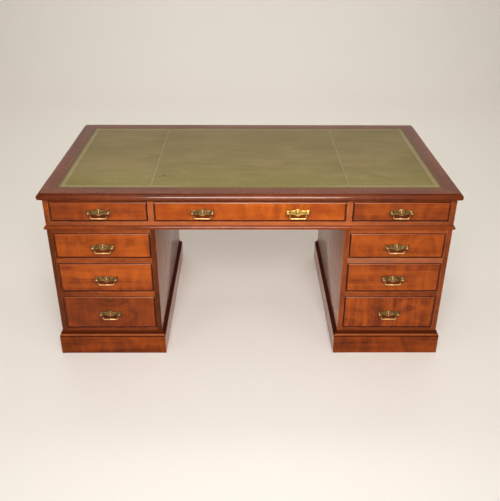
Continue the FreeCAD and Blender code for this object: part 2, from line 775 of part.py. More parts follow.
# Rear cupboards: a shelf on ledges, and a panelled door on two butt hinges at the outer side.
door_z = (f"{LOWER_Z} + drawer_gap", f"{PEDESTAL_TOP} - top_rail_height - drawer_gap")
door_y = (f"{CASE_Y} - door_thickness", CASE_Y)
hinge_axis_x = f"({INNER_X} - hinge_gap / 2)"
hinge_axis_y = f"({CASE_Y} + hinge_knuckle)"
door_edge = f"({INNER_X} - hinge_gap)"
door_free = f"({KNEE_X} + board_thickness + drawer_gap)"
door_middle = f"(({door_z[0]}) + ({door_z[1]})) / 2"
hinge_levels = [f"{door_z[0]} + hinge_inset", f"{door_z[1]} - hinge_inset"]

shelf_pieces = [
    board("shelf", both(f"{BAY_HALF} - shelf_gap"), (f"{SPINE_Y} + shelf_gap", f"{CASE_Y} - shelf_setback"),
          ("shelf_level", "shelf_level + shelf_thickness")),
]
for side in (-1, 1):
    shelf_pieces.append(
        board("shelf_ledge", span(side, f"{BAY_HALF} - ledge_width", BAY_HALF),
              (SPINE_Y, f"{CASE_Y} - 2 * shelf_setback"), ("shelf_level - runner_height", "shelf_level")))
finish_node("cupboard_shelves", [
    copy_at(f"shelf_set_{side}", shelf_pieces, x=f"{side} * {PEDESTAL_X}") for side in ("-1", "1")
])


def make_door(label, side):
    """Two stiles, two tenoned rails and a fielded panel held in grooves."""
    stile_in, stile_out = f"({door_free} + door_stile)", f"({door_edge} - door_stile)"
    rail_levels = {
        "top": (f"({door_z[1]}) - door_stile", door_z[1]),
        "foot": (door_z[0], f"({door_z[0]}) + door_foot_rail"),
    }
    rails = []
    for name, z in rail_levels.items():
        rail = board(f"{label}_{name}_rail", span(side, stile_in, stile_out), door_y, z)
        tenon = board(
            f"{label}_{name}_tenon",
            span(side, f"{stile_in} - door_tenon", f"{stile_out} + door_tenon"),
            (f"({door_y[0]}) + door_tenon_inset", f"({door_y[1]}) - door_tenon_inset"),
            (f"({z[0]}) + panel_groove + door_tenon_inset", f"({z[1]}) - panel_groove - door_tenon_inset"),
        )
        rails.append(fuse(f"{label}_{name}_rail_tenoned", [rail, tenon]))

    panel_x = span(side, f"{stile_in} - panel_groove", f"{stile_out} + panel_groove")
    panel_z = (f"({rail_levels['foot'][1]}) - panel_groove", f"({rail_levels['top'][0]}) + panel_groove")
    panel_back = f"({CASE_Y} - panel_set - panel_edge)"
    sheet = board(f"{label}_panel_sheet", panel_x, (panel_back, f"{panel_back} + panel_edge"), panel_z)
    field = doc.addObject("Part::Wedge", f"{label}_panel_field")
    edge = "(panel_groove + panel_reveal)"
    field_sizes = {"Ymin": f"{panel_back} + panel_edge", "Ymax": f"{panel_back} + panel_edge + panel_field"}
    for prefix, (low, high) in (("X", panel_x), ("Z", panel_z)):
        for level, inset in (("", edge), ("2", "panel_bevel")):
            field_sizes[f"{prefix}{level}min"] = f"({low}) + {inset}"
            field_sizes[f"{prefix}{level}max"] = f"({high}) - {inset}"
    for size, text in field_sizes.items():
        field.setExpression(size, bound(text))
    panel = fuse(f"{label}_panel", [sheet, field])

    knob_hole = rod(f"{label}_knob_hole", "stem_hole", "knob_stem", "Y",
                    f"{side} * ({door_free} + door_stile / 2)", f"{CASE_Y} - knob_stem", door_middle)
    stiles = []
    for name, x, extra in (("lock", (door_free, stile_in), [knob_hole]), ("hinge", (stile_out, door_edge), [])):
        stile = board(f"{label}_{name}_stile", span(side, *x), door_y, door_z)
        stiles.append(cut(f"{label}_{name}_stile_cut", stile, rails + [panel] + extra))
    rails = [cut(f"{rail.Name}_grooved", rail, [panel]) for rail in rails]
    return stiles + rails + [panel]


def make_knob():
    """A turned knob about the Y axis, its rose on the plane Y 0 and its stem behind it."""
    body = new_body("knob")
    shape = sketch_on(body, "knob_profile", "XY_Plane")
    neck_end = "knob_reach - sqrt(knob_ball^2 - knob_neck^2)"
    outline(shape, ("0", "-knob_stem"), [
        ("stem_radius", "-knob_stem"),
        ("stem_radius", "0"),
        ("knob_rose", "0"),
        ("knob_rose", "flange_height"),
        ("knob_neck", "2 * flange_height"),
        ("knob_neck", neck_end),
        ("0", "knob_reach + knob_ball", "knob_ball", 1),
        ("0", "-knob_stem"),
    ])
    revolve(body, shape)
    return body


def hinge_half(name, x, knuckles):
    """One leaf of a butt hinge about the Z axis, with its knuckles at the given heights."""
    leaf = board(f"{name}_leaf", x, ("-hinge_depth", "-hinge_clear"), both("hinge_half"))
    pieces = [leaf]
    for low, high in knuckles:
        pieces.append(board(f"{name}_tongue", x, ("-hinge_clear", "0"), (low, high)))
        pieces.append(rod(f"{name}_knuckle", "hinge_knuckle", f"({high}) - ({low})", "Z", z=low))
    return pieces


leaf_x = ("hinge_gap / 2 - hinge_leaf", "hinge_gap / 2")
split = "hinge_split + hinge_play"
fixed_leaf = fuse("fixed_leaf", hinge_half(
    "fixed", leaf_x, [("-hinge_half", f"-({split})"), (split, "hinge_half")],
) + [rod("hinge_pin_rod", "hinge_pin", "2 * hinge_half", "Z", z="-hinge_half")])
door_leaf = cut(
    "door_leaf",
    fuse("door_leaf_blank", hinge_half("door", (f"-({leaf_x[1]})", f"-({leaf_x[0]})"), [both("hinge_split")])),
    [rod("door_leaf_bore", "hinge_pin + pin_clearance", "2 * hinge_split", "Z", z="-hinge_split")],
)
knob = make_knob()
fixed_leaves = []
for side, label in ((-1, "left"), (1, "right")):
    flip = FreeCAD.Rotation() if side > 0 else FreeCAD.Rotation(Y_AXIS, 180)
    axis_x = f"{side} * {hinge_axis_x}"
    moving = []
    for level in hinge_levels:
        fixed_leaves.append(copy_at(f"{label}_fixed_leaf", [fixed_leaf], axis_x, hinge_axis_y, level, flip))
        moving.append(copy_at(f"{label}_moving_leaf", [door_leaf], axis_x, hinge_axis_y, level, flip))
    moving.append(copy_at(f"{label}_knob", [knob], f"{side} * ({door_free} + door_stile / 2)", CASE_Y, door_middle))
    finish_node(f"{label}_door", make_door(label, side))
    finish_node(f"{label}_door_brass", moving)
finish_node("door_hinge_leaves", fixed_leaves)

doc.recompute()
failed = [item.Label for item in doc.Objects if {"Invalid", "Error"} & set(item.State)]
failed += [name for name, node in nodes.items() if node.Shape.isNull() or not node.Shape.isValid()]
if failed:
    raise RuntimeError(f"these did not build: {failed}")

os.makedirs("parts", exist_ok=True)
for name, node in nodes.items():
    node.Label = name
    node.Shape.exportStep(os.path.join("parts", f"{name}.step"))
    print(name, len(node.Shape.Solids), "solids", round(node.Shape.Volume / 1e6, 3), "dm3")
print(len(nodes), "nodes")
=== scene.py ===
import math
import random

import bmesh
import bpy
from mathutils import Matrix, Vector


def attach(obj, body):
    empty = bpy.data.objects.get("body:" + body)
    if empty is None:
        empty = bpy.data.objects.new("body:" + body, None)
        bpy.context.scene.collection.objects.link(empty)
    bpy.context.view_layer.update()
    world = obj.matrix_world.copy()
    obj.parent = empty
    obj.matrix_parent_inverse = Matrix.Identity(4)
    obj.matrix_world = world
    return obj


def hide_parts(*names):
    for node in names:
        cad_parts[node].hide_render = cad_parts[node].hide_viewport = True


# A partners desk in mahogany with a leather top. Shapes are written in millimetres and built in metres.

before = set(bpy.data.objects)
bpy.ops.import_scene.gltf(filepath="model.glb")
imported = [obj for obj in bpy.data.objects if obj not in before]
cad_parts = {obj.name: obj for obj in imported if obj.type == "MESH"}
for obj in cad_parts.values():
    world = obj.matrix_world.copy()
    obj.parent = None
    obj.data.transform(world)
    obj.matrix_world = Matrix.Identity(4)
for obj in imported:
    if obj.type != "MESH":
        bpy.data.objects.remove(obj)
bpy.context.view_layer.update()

MM = 0.001
# How near places count as one and points are welded, in millimetres, and how squarely a face looks one way.
HAIR = 0.1
WELD = 0.001
FACING = 0.9
TONE_SEED = 11
tones = random.Random(TONE_SEED)

# Carcass
CASE_X = 820
CASE_Y = 430
INNER_X = 798
KNEE_X = 384
DIVIDER_X = 408
BOARD = 22
PEDESTAL_X = 602
PEDESTAL_HALF = 218
BAY_HALF = 196
SIDE_BAY_X = 603
SIDE_BAY = 390
RAIL_DEPTH = 60
RAIL_BACK = CASE_Y - RAIL_DEPTH
SPINE = 9
PLINTH_TOP = 81
FOOT_RAIL_TOP = 128
LOW_RAIL = (290, 314)
HIGH_RAIL = (453, 477)
HEAD_RAIL = 592
PEDESTAL_TOP = 613
FRIEZE_FOOT = 645
FRIEZE_HEAD = 731
TOP_FOOT = 746
EASE = 0.9

# Desk top
TOP_X = 840
TOP_Y = 450
TOP_HEIGHT = 24
BORDER = 68
LIP = 80
LIP_HEIGHT = 4.5
EDGE_CORNER = 16
LEATHER_FOOT = 768.5
LEATHER_TOP = 769.9
LEATHER_X = TOP_X - BORDER
LEATHER_Y = TOP_Y - BORDER
SEAM_X = 402
TOOLING_SET = 14
TOOLING = 14
SEAM_TOOLING = 7
TOOLING_FOOT = 769.75
TOOLING_HEIGHT = 0.2

# Drawers
GAP = 2.2
FRONT = 20
LINING = 10
DRAWER_LENGTH = 400
DRAWER_LIFT = 0.5
HEADROOM = 7
BOTTOM_LOW = 9.5
BOTTOM_HIGH = 15.5
GROOVE = 5
BACK_DROP = 4
TAIL_END = 7
PIN_NARROW = 0.10
PIN_WIDE = 0.18
BEAD_WIDTH = 5
BEAD_SET = 6
BEAD_ROUND = 2.52

# Handles
POST_X = 40
POST_REACH = 12
FRIEZE_HANDLE_DROP = 2
PEDESTAL_HANDLE_DROP = 5.5
PAIR_X = 190


def deselect():
    bpy.ops.object.select_all(action="DESELECT")


def make_active(piece):
    deselect()
    piece.select_set(True)
    bpy.context.view_layer.objects.active = piece


def open_mesh(piece, kind="FACE"):
    """Go into edit mode on one piece with all of it selected."""
    make_active(piece)
    bpy.ops.object.mode_set(mode="EDIT")
    bpy.ops.mesh.select_mode(type=kind)
    bpy.ops.mesh.select_all(action="SELECT")


def close_mesh():
    bpy.ops.object.mode_set(mode="OBJECT")


def pick_faces(piece, test):
    """In edit mode, select the faces whose normal passes a test."""
    bpy.ops.mesh.select_mode(type="FACE")
    bpy.ops.mesh.select_all(action="DESELECT")
    mesh = bmesh.from_edit_mesh(piece.data)
    mesh.normal_update()
    for face in mesh.faces:
        if test(face.normal):
            face.select_set(True)
    bmesh.update_edit_mesh(piece.data)


def pick_points(piece, test):
    """In edit mode, select the points whose place passes a test, and the edges between them."""
    bpy.ops.mesh.select_mode(type="VERT")
    bpy.ops.mesh.select_all(action="DESELECT")
    mesh = bmesh.from_edit_mesh(piece.data)
    for point in mesh.verts:
        if test(point.co):
            point.select_set(True)
    mesh.select_flush(True)
    bmesh.update_edit_mesh(piece.data)


def extrude(x=0, y=0, z=0):
    bpy.ops.mesh.extrude_region_move(TRANSFORM_OT_translate={"value": (x * MM, y * MM, z * MM)})


def shift(y):
    bpy.ops.transform.translate(value=(0, y * MM, 0))


def inset(width):
    bpy.ops.mesh.inset(thickness=width * MM)


def face_outwards():
    bpy.ops.mesh.select_all(action="SELECT")
    bpy.ops.mesh.remove_doubles(threshold=WELD * MM)
    bpy.ops.mesh.normals_make_consistent(inside=False)


def smooth(piece, angle=35):
    make_active(piece)
    bpy.ops.object.shade_smooth_by_angle(angle=math.radians(angle))
    return piece


def named(piece, name):
    piece.name = name
    piece.data.name = name
    return piece


def discard(pieces):
    for piece in pieces:
        bpy.data.objects.remove(piece)


def block(name, low, high):
    """A sharp box between two corners, the start of a board."""
    deselect()
    bpy.ops.mesh.primitive_cube_add(size=MM, location=[(a + b) / 2 * MM for a, b in zip(low, high)])
    piece = named(bpy.context.object, name)
    piece.scale = [b - a for a, b in zip(low, high)]
    bpy.ops.object.transform_apply(location=True, rotation=True, scale=True)
    return piece


def ease(piece, width=EASE):
    """Round all the edges of a piece."""
    open_mesh(piece, "EDGE")
    bpy.ops.mesh.bevel(offset=width * MM, segments=2, affect="EDGES")
    close_mesh()
    return smooth(piece)


GRAIN_ORDER = {"X": (0, 1, 2), "Y": (1, 0, 2), "Z": (2, 0, 1)}
NO_EDGE = 10.0


def mark_grain(piece, along, worn=True):
    """Keep on each point its place in the board, along the grain first, the board's half size, and a tone."""
    order = GRAIN_ORDER[along]
    points = [[point.co[axis] for axis in order] for point in piece.data.vertices]
    low = [min(axis) for axis in zip(*points)]
    high = [max(axis) for axis in zip(*points)]
    middle = [(a + b) / 2 for a, b in zip(low, high)]
    half = [(b - a) / 2 if worn else NO_EDGE for a, b in zip(low, high)]
    tone = tones.random()
    kept = piece.data.attributes
    for name, kind, field, values in (
        ("grain", "FLOAT_VECTOR", "vector", [p - m for point in points for p, m in zip(point, middle)]),
        ("half", "FLOAT_VECTOR", "vector", half * len(points)),
        ("tone", "FLOAT", "value", [tone] * len(points)),
    ):
        if name in kept:
            kept.remove(kept[name])
        kept.new(name, kind, "POINT").data.foreach_set(field, values)
    return piece


def mark_points(piece, name, share):
    """Keep a value from 0 to 1 on each point, worked out from its place in millimetres."""
    values = [min(max(share(point.co / MM), 0), 1) for point in piece.data.vertices]
    piece.data.attributes.new(name, "FLOAT", "POINT").data.foreach_set("value", values)
    return piece


def end_share(point):
    """How far a place is from the kneehole, as a share of the way to the end of the desk."""
    return min(max((abs(point.x) - KNEE_X) / (INNER_X - KNEE_X), 0), 1)


def score(piece, *places):
    """Add points across a board at places along X, so that its marks can change there."""
    open_mesh(piece)
    for x in places:
        bpy.ops.mesh.select_all(action="SELECT")
        bpy.ops.mesh.bisect(plane_co=(x * MM, 0, 0), plane_no=(1, 0, 0))
    close_mesh()


def board(name, low, high, along="X"):
    return mark_grain(ease(block(name, low, high)), along)


def copy_of(piece, name, place=Matrix()):
    """A copy with its own mesh at another place, and with other tones where it is wood."""
    made = piece.copy()
    made.data = piece.data.copy()
    named(made, name)
    bpy.context.collection.objects.link(made)
    made.data.transform(place)
    if "tone" in made.data.attributes:
        step = tones.random()
        for point in made.data.attributes["tone"].data:
            point.value = (point.value + step) % 1
    return made


def join(name, parts):
    deselect()
    for part in parts:
        part.select_set(True)
    bpy.context.view_layer.objects.active = parts[0]
    if len(parts) > 1:
        bpy.ops.object.join()
    return named(parts[0], name)


def move(x=0, y=0, z=0):
    return Matrix.Translation(Vector((x, y, z)) * MM)


def turn(angle, axis="Z"):
    return Matrix.Rotation(math.radians(angle), 4, axis)


def arc(start, end, radius, way, pieces):
    """Points on an arc after its start. Way is 1 where the arc turns left, and -1 where it turns right."""
    start, end = Vector(start), Vector(end)
    chord = end - start
    left = Vector((-chord.y, chord.x)).normalized()
    centre = (start + end) / 2 + way * left * math.sqrt(max(radius ** 2 - chord.length ** 2 / 4, 0))
    first = math.atan2(start.y - centre.y, start.x - centre.x)
    last = math.atan2(end.y - centre.y, end.x - centre.x)
    sweep = (last - first) * way % (2 * math.pi) * way
    angles = [first + sweep * step / pieces for step in range(1, pieces + 1)]
    return [(centre.x + radius * math.cos(a), centre.y + radius * math.sin(a)) for a in angles]


def trace(start, steps, pieces=8):
    """A closed outline of straight steps (x, y) and arcs (x, y, radius, way)."""
    points = [start]
    for step in steps:
        if len(step) == 2:
            points.append(step)
        else:
            points += arc(points[-1], step[:2], step[2], step[3], pieces)
    if (Vector(points[0]) - Vector(points[-1])).length < WELD:
        points.pop()
    return points


def outline_piece(name, points, fill="NGON"):
    """A flat outline through points in space, as a face or as a wire."""
    deselect()
    bpy.ops.mesh.primitive_circle_add(vertices=len(points), radius=MM, fill_type=fill)
    piece = named(bpy.context.object, name)
    for vertex, point in zip(piece.data.vertices, points):
        vertex.co = Vector(point) * MM
    piece.data.update()
    return piece


def mitred_strip(name, section, half_x, half_y, foot=0, steps=1):
    """A strip along the front of a frame, cut at 45 degrees at both ends. Its section is (inwards, up)."""
    reach = half_x + 1
    piece = outline_piece(name, [(-reach, u - half_y, foot + v) for u, v in section])
    open_mesh(piece)
    for step in range(steps):
        extrude(x=2 * reach / steps)
    face_outwards()
    for side in (-1, 1):
        bpy.ops.mesh.select_all(action="SELECT")
        bpy.ops.mesh.bisect(plane_co=(side * half_x * MM, -half_y * MM, 0),
                            plane_no=Vector((side, 1, 0)).normalized(),
                            use_fill=True, clear_outer=True)
    face_outwards()
    close_mesh()
    return mark_grain(smooth(piece), "X", worn=False)


def mitred_frame(name, section, half_x, half_y, foot=0, marks=({}, {}, {}), steps=1):
    """Four mitred strips round a rectangle. Marks for front, rear and side strips give values by place."""
    front = mitred_strip(f"{name}_strip", section, half_x, half_y, foot, steps)
    side = mitred_strip(f"{name}_strip", section, half_y, half_x, foot)
    rear = copy_of(front, f"{name}_strip", turn(180))
    for strip, shares in zip((front, rear, side), marks):
        for mark, share in shares.items():
            mark_points(strip, mark, share)
    other = copy_of(side, f"{name}_strip", turn(-90))
    side.data.transform(turn(90))
    return join(name, [front, rear, side, other])


def turned(name, profile, steps=32):
    """A turned piece about Z from a closed profile of (radius, height)."""
    piece = outline_piece(name, [(radius, 0, height) for radius, height in profile], "NOTHING")
    open_mesh(piece, "VERT")
    bpy.ops.mesh.spin(steps=steps, angle=2 * math.pi, center=(0, 0, 0), axis=(0, 0, 1))
    face_outwards()
    close_mesh()
    return smooth(piece, 50)


def cut_away(piece, tool):
    """Take one solid out of another."""
    make_active(piece)
    cutter = piece.modifiers.new("cut", "BOOLEAN")
    cutter.operation = "DIFFERENCE"
    cutter.solver = "EXACT"
    cutter.object = tool
    bpy.ops.object.modifier_apply(modifier=cutter.name)


BUMP_DEPTH = 0.0004


class FinishMix:
    """The nodes of one finish. A value is a number, a colour or the socket of another node."""

    def __init__(self, tree):
        self.tree = tree

    def node(self, kind, **values):
        made = self.tree.nodes.new(f"ShaderNode{kind}")
        for key, value in values.items():
            setattr(made, key, value)
        return made

    def feed(self, socket, source):
        """Link a socket to another, or set its plain value."""
        if isinstance(source, bpy.types.NodeSocket):
            self.tree.links.new(source, socket)
        else:
            socket.default_value = source

    def put(self, sockets, **sources):
        for key, source in sources.items():
            self.feed(sockets[key], source)

    def fill(self, made, *sources):
        """Feed the first sockets of a node in their order, and give its first output."""
        for socket, source in zip(made.inputs, sources):
            self.feed(socket, source)
        return made.outputs[0]

    def math(self, operation, first, second=0.0, clamp=False):
        return self.fill(self.node("Math", operation=operation, use_clamp=clamp), first, second)

    def plus(self, first, second, clamp=False):
        return self.math("ADD", first, second, clamp)

    def minus(self, first, second, clamp=False):
        return self.math("SUBTRACT", first, second, clamp)

    def times(self, first, second):
        return self.math("MULTIPLY", first, second)

    def over(self, first, second):
        return self.math("DIVIDE", first, second)

    def size(self, value):
        return self.math("ABSOLUTE", value)

    def most(self, first, second):
        return self.math("MAXIMUM", first, second)

    def total(self, *terms):
        """The sum of values, each times its weight."""
        made = self.times(*terms[0])
        for value, weight in terms[1:]:
            made = self.plus(made, self.times(value, weight))
        return made

    def vector(self, operation, first, second=(0, 0, 0)):
        return self.fill(self.node("VectorMath", operation=operation), first, second)

    def point(self, *sources):
        return self.fill(self.node("CombineXYZ"), *sources)

    def parts(self, place):
        made = self.node("SeparateXYZ")
        self.feed(made.inputs[0], place)
        return made.outputs

    def blend(self, share, first, second, mode="MIX"):
        made = self.node("Mix", data_type="RGBA", blend_type=mode)
        for socket, source in ((0, share), (6, first), (7, second)):
            self.feed(made.inputs[socket], source)
        return made.outputs[2]

    def noise(self, place, scale, detail=2.0, rough=0.5, twist=0.0):
        """Noise with its scale, per metre, for all axes or for each."""
        made = self.node("TexNoise")
        scales = scale if isinstance(scale, tuple) else (scale, scale, scale)
        scaled = self.vector("MULTIPLY", place, scales)
        self.put(made.inputs, Vector=scaled, Scale=1, Detail=detail, Roughness=rough, Distortion=twist)
        return made.outputs[0]

    def level(self, value, low, high, to_low=0.0, to_high=1.0):
        """A soft step of a value from low to high."""
        made = self.node("MapRange", interpolation_type="SMOOTHSTEP")
        return self.fill(made, value, low, high, to_low, to_high)

    def fall(self, value, low, high):
        """A soft step down from 1 to 0."""
        return self.level(value, low, high, 1.0, 0.0)

    def attribute(self, name, output="Fac"):
        return self.node("Attribute", attribute_name=name).outputs[output]

    def place(self):
        return self.node("TexCoord").outputs["Object"]

    def use(self, group, **values):
        made = self.node("Group", node_tree=group)
        self.put(made.inputs, **values)
        return made.outputs

    def bump(self, shader, height, strength):
        made = self.node("Bump")
        self.put(made.inputs, Strength=strength, Distance=BUMP_DEPTH, Height=height)
        self.put(shader.inputs, Normal=made.outputs[0])


def new_group(name, inputs, outputs):
    """A node group with its sockets, each written as a name and a kind."""
    tree = bpy.data.node_groups.new(name, "ShaderNodeTree")
    for way, sockets in (("INPUT", inputs), ("OUTPUT", outputs)):
        for socket, kind in sockets.items():
            tree.interface.new_socket(socket, in_out=way, socket_type=f"NodeSocket{kind}")
    given = tree.nodes.new("NodeGroupInput").outputs
    made = tree.nodes.new("NodeGroupOutput").inputs
    return FinishMix(tree), given, made


def screen(red, green, blue):
    """The linear colour of a screen colour from 0 to 255."""
    parts = []
    for value in (red, green, blue):
        value /= 255
        parts.append(value / 12.92 if value <= 0.04045 else ((value + 0.055) / 1.055) ** 2.4)
    return (*parts, 1)


TONE_STEPS = (37.0, 91.0, 53.0)
GRAIN_SWAY = 0.035
TONE_DEPTH = 0.22


def wood_grain_group():
    """Grain along X: wavy streaks, a cloudy figure across them, fine fibres and short dark pores."""
    mix, given, made = new_group(
        "wood_grain",
        dict(Place="Vector", Tone="Float", Light="Color", Dark="Color", Streak="Float", Figure="Float"),
        dict(Colour="Color", Sheen="Float", Height="Float"))
    seed = mix.point(*[mix.times(given["Tone"], step) for step in TONE_STEPS])
    place = mix.vector("ADD", given["Place"], seed)
    sway = mix.times(mix.minus(mix.noise(place, (2.6, 5.0, 5.0), 1.5), 0.5), GRAIN_SWAY)
    place = mix.vector("ADD", place, mix.point(0, sway, sway))
    broad = mix.level(mix.noise(place, (1.6, 24.0, 24.0), 4.0, 0.6, 0.5), 0.30, 0.72)
    narrow = mix.level(mix.noise(place, (4.5, 160.0, 160.0), 3.0, 0.6), 0.30, 0.72)
    fibre = mix.noise(place, (26.0, 1100.0, 1100.0), 2.0, 0.6)
    pores = mix.level(mix.noise(place, (70.0, 1500.0, 1500.0), 1.0), 0.63, 0.74)
    cloud = mix.level(mix.noise(place, (13.0, 6.5, 6.5), 3.0, 0.55, 1.6), 0.28, 0.74)
    streaks = mix.minus(mix.total((broad, 0.72), (narrow, 0.28)), 0.5)
    share = mix.total((streaks, given["Streak"]), (mix.minus(cloud, 0.5), given["Figure"]),
                      (mix.minus(given["Tone"], 0.5), TONE_DEPTH))
    colour = mix.blend(mix.plus(share, 0.5, clamp=True), given["Dark"], given["Light"])
    speck = mix.total((pores, 0.45), (fibre, 0.16))
    mix.put(made, Colour=mix.blend(speck, colour, given["Dark"], "MULTIPLY"),
            Sheen=mix.total((fibre, 0.10), (cloud, 0.06)), Height=mix.minus(mix.times(fibre, 0.35), pores))
    return mix.tree


def worn_edges_group():
    """How near a point is to an edge of its board, broken up, from the board's half size and its place."""
    mix, given, made = new_group(
        "worn_edges", dict(Place="Vector", Half="Vector", Tone="Float", Width="Float"), dict(Mask="Float"))
    x, y, z = mix.parts(mix.vector("SUBTRACT", given["Half"], mix.vector("ABSOLUTE", given["Place"])))
    least = mix.math("MINIMUM", x, y)
    second = mix.most(least, mix.math("MINIMUM", mix.most(x, y), z))
    near = mix.fall(mix.over(second, given["Width"]), 0.0, 1.0)
    place = mix.vector("ADD", given["Place"], mix.point(mix.times(given["Tone"], 19.0)))
    patch = mix.noise(place, (11.0, 45.0, 45.0), 5.0, 0.7, 0.6)
    mix.put(made, Mask=mix.times(near, mix.level(patch, 0.40, 0.80)))
    return mix.tree


def scuffs_group():
    """Old handling: broad soft patches, and fine scratches that run every way."""
    mix, given, made = new_group("scuffs", dict(Place="Vector"), dict(Patch="Float", Scratch="Float"))
    patch = mix.noise(given["Place"], 5.5, 4.0, 0.6, 0.8)
    lines = mix.noise(given["Place"], (16.0, 620.0, 300.0), 1.0, 0.5, 2.4)
    mix.put(made, Patch=mix.level(patch, 0.35, 0.72), Scratch=mix.level(lines, 0.70, 0.80))
    return mix.tree


def hide_grain_group():
    """Pebbled hide: small cells, creases and a cloudy dye."""
    mix, given, made = new_group(
        "hide_grain", dict(Place="Vector"), dict(Dye="Float", Height="Float", Rub="Float"))
    place = given["Place"]
    cells = mix.node("TexVoronoi", feature="SMOOTH_F1")
    mix.put(cells.inputs, Vector=place, Scale=620, Smoothness=0.6)
    crease = mix.noise(place, (60.0, 90.0, 60.0), 4.0, 0.6, 1.2)
    cloud = mix.level(mix.noise(place, (3.2, 5.0, 3.2), 5.0, 0.62, 0.5), 0.28, 0.74)
    streak = mix.level(mix.noise(place, (4.0, 46.0, 4.0), 3.0, 0.6, 0.3), 0.30, 0.70)
    fine = mix.noise(place, 240.0)
    rub = mix.noise(place, (9.0, 14.0, 9.0), 5.0, 0.7)
    mix.put(made, Dye=mix.total((cloud, 0.50), (streak, 0.28), (fine, 0.22)),
            Height=mix.plus(cells.outputs["Distance"], mix.times(crease, 0.7)),
            Rub=mix.level(rub, 0.46, 0.72))
    return mix.tree


LOZENGE_PITCH = 0.008
LOZENGE_LENGTH = 0.0034
LOZENGE_WIDTH = 0.0024
TOOLED_LINES = ((0.0056, 0.0006), (0.0041, 0.0003))


def gold_tooling_group():
    """A tooled band along X: a broad and a fine line on each side and a row of lozenges between them."""
    mix, given, made = new_group("gold_tooling", dict(Place="Vector"), dict(Mask="Float"))
    x, y, _ = mix.parts(given["Place"])
    across = mix.size(y)
    along = mix.size(mix.minus(mix.math("FLOORED_MODULO", x, LOZENGE_PITCH), LOZENGE_PITCH / 2))
    mask = mix.fall(mix.plus(mix.over(along, LOZENGE_LENGTH), mix.over(across, LOZENGE_WIDTH)), 0.85, 1.05)
    for middle, width in TOOLED_LINES:
        away = mix.size(mix.minus(across, middle))
        mask = mix.most(mask, mix.fall(away, width * 0.8, width * 1.4))
    worn = mix.noise(given["Place"], 130.0, 4.0, 0.6)
    mix.put(made, Mask=mix.times(mask, mix.level(worn, 0.30, 0.52)))
    return mix.tree


def brass_patina_group():
    """Tarnish in clouds and specks over brass, darker where it was never rubbed."""
    mix, given, made = new_group(
        "brass_patina", dict(Place="Vector", Bright="Color", Dull="Color", Tarnish="Float"),
        dict(Colour="Color", Sheen="Float", Height="Float"))
    cloud = mix.noise(given["Place"], 110.0, 5.0, 0.65, 0.4)
    speck = mix.level(mix.noise(given["Place"], 1300.0), 0.54, 0.74)
    edge = mix.minus(0.80, mix.times(given["Tarnish"], 0.5))
    clouded = mix.level(cloud, mix.minus(edge, 0.42), mix.plus(edge, 0.10))
    dull = mix.plus(clouded, mix.times(speck, 0.22), clamp=True)
    mix.put(made, Colour=mix.blend(dull, given["Bright"], given["Dull"]), Sheen=mix.times(dull, 0.30),
            Height=mix.plus(mix.times(cloud, 0.6), speck))
    return mix.tree


HANDLE_SHADOW_LENGTH = 0.060
HANDLE_SHADOW_RISE = 0.027
HANDLE_SHADOW_SAG = 0.009


def handle_shadow_and_dirt_group():
    """Painted shadow under a handle and dirt round it, outside only. Place starts midway between the handles.
    """
    mix, given, made = new_group("handle_shadow_and_dirt", dict(Place="Vector", Spread="Float"), dict(Mask="Float"))
    x, depth, z = mix.parts(given["Place"])
    across = mix.over(mix.minus(mix.size(x), given["Spread"]), HANDLE_SHADOW_LENGTH)
    rise = mix.over(mix.plus(z, HANDLE_SHADOW_SAG), HANDLE_SHADOW_RISE)
    reach = mix.math("SQRT", mix.total((across, across), (rise, rise)))
    ragged = mix.plus(reach, mix.times(mix.noise(given["Place"], 60.0, 3.0, 0.6), 0.5))
    mix.put(made, Mask=mix.times(mix.fall(ragged, 0.75, 1.35), mix.fall(depth, 0.007, 0.016)))
    return mix.tree


wood_grain = wood_grain_group()
worn_edges = worn_edges_group()
scuffs = scuffs_group()
hide_grain = hide_grain_group()
gold_tooling = gold_tooling_group()
brass_patina = brass_patina_group()
handle_shadow_and_dirt = handle_shadow_and_dirt_group()

WORN = screen(214, 136, 78)
# Pale colour of real polish and of painted highlights on bead crests, the top's edge and the plinth lip.
POLISH_AND_HIGHLIGHT = screen(238, 184, 152)
# Colour of real dirt and of painted shade in gaps, hollows and towards the ends of the desk.
DIRT_AND_SHADE = screen(54, 8, 0)
INK = screen(50, 42, 24)
INK_SPOT = (-0.358, -0.246, 0.77)
HIDE_MARGIN = screen(92, 66, 44)
TOOLED_HALF = ((LEATHER_X - TOOLING_SET) * MM, (LEATHER_Y - TOOLING_SET) * MM, 0)
COAT_CUT = 3.0
COAT_ROUGH = 0.10
WORN_WIDTH = 0.005
HANDLE_SHADOW_AND_DIRT = 0.72
GRAIN_TURN = {"X": (0, 0, 0), "Y": (0, 0, math.pi / 2)}


def new_material(name):
    material = bpy.data.materials.new(name)
    material.use_nodes = True
    tree = material.node_tree
    return material, FinishMix(tree), tree.nodes["Principled BSDF"]


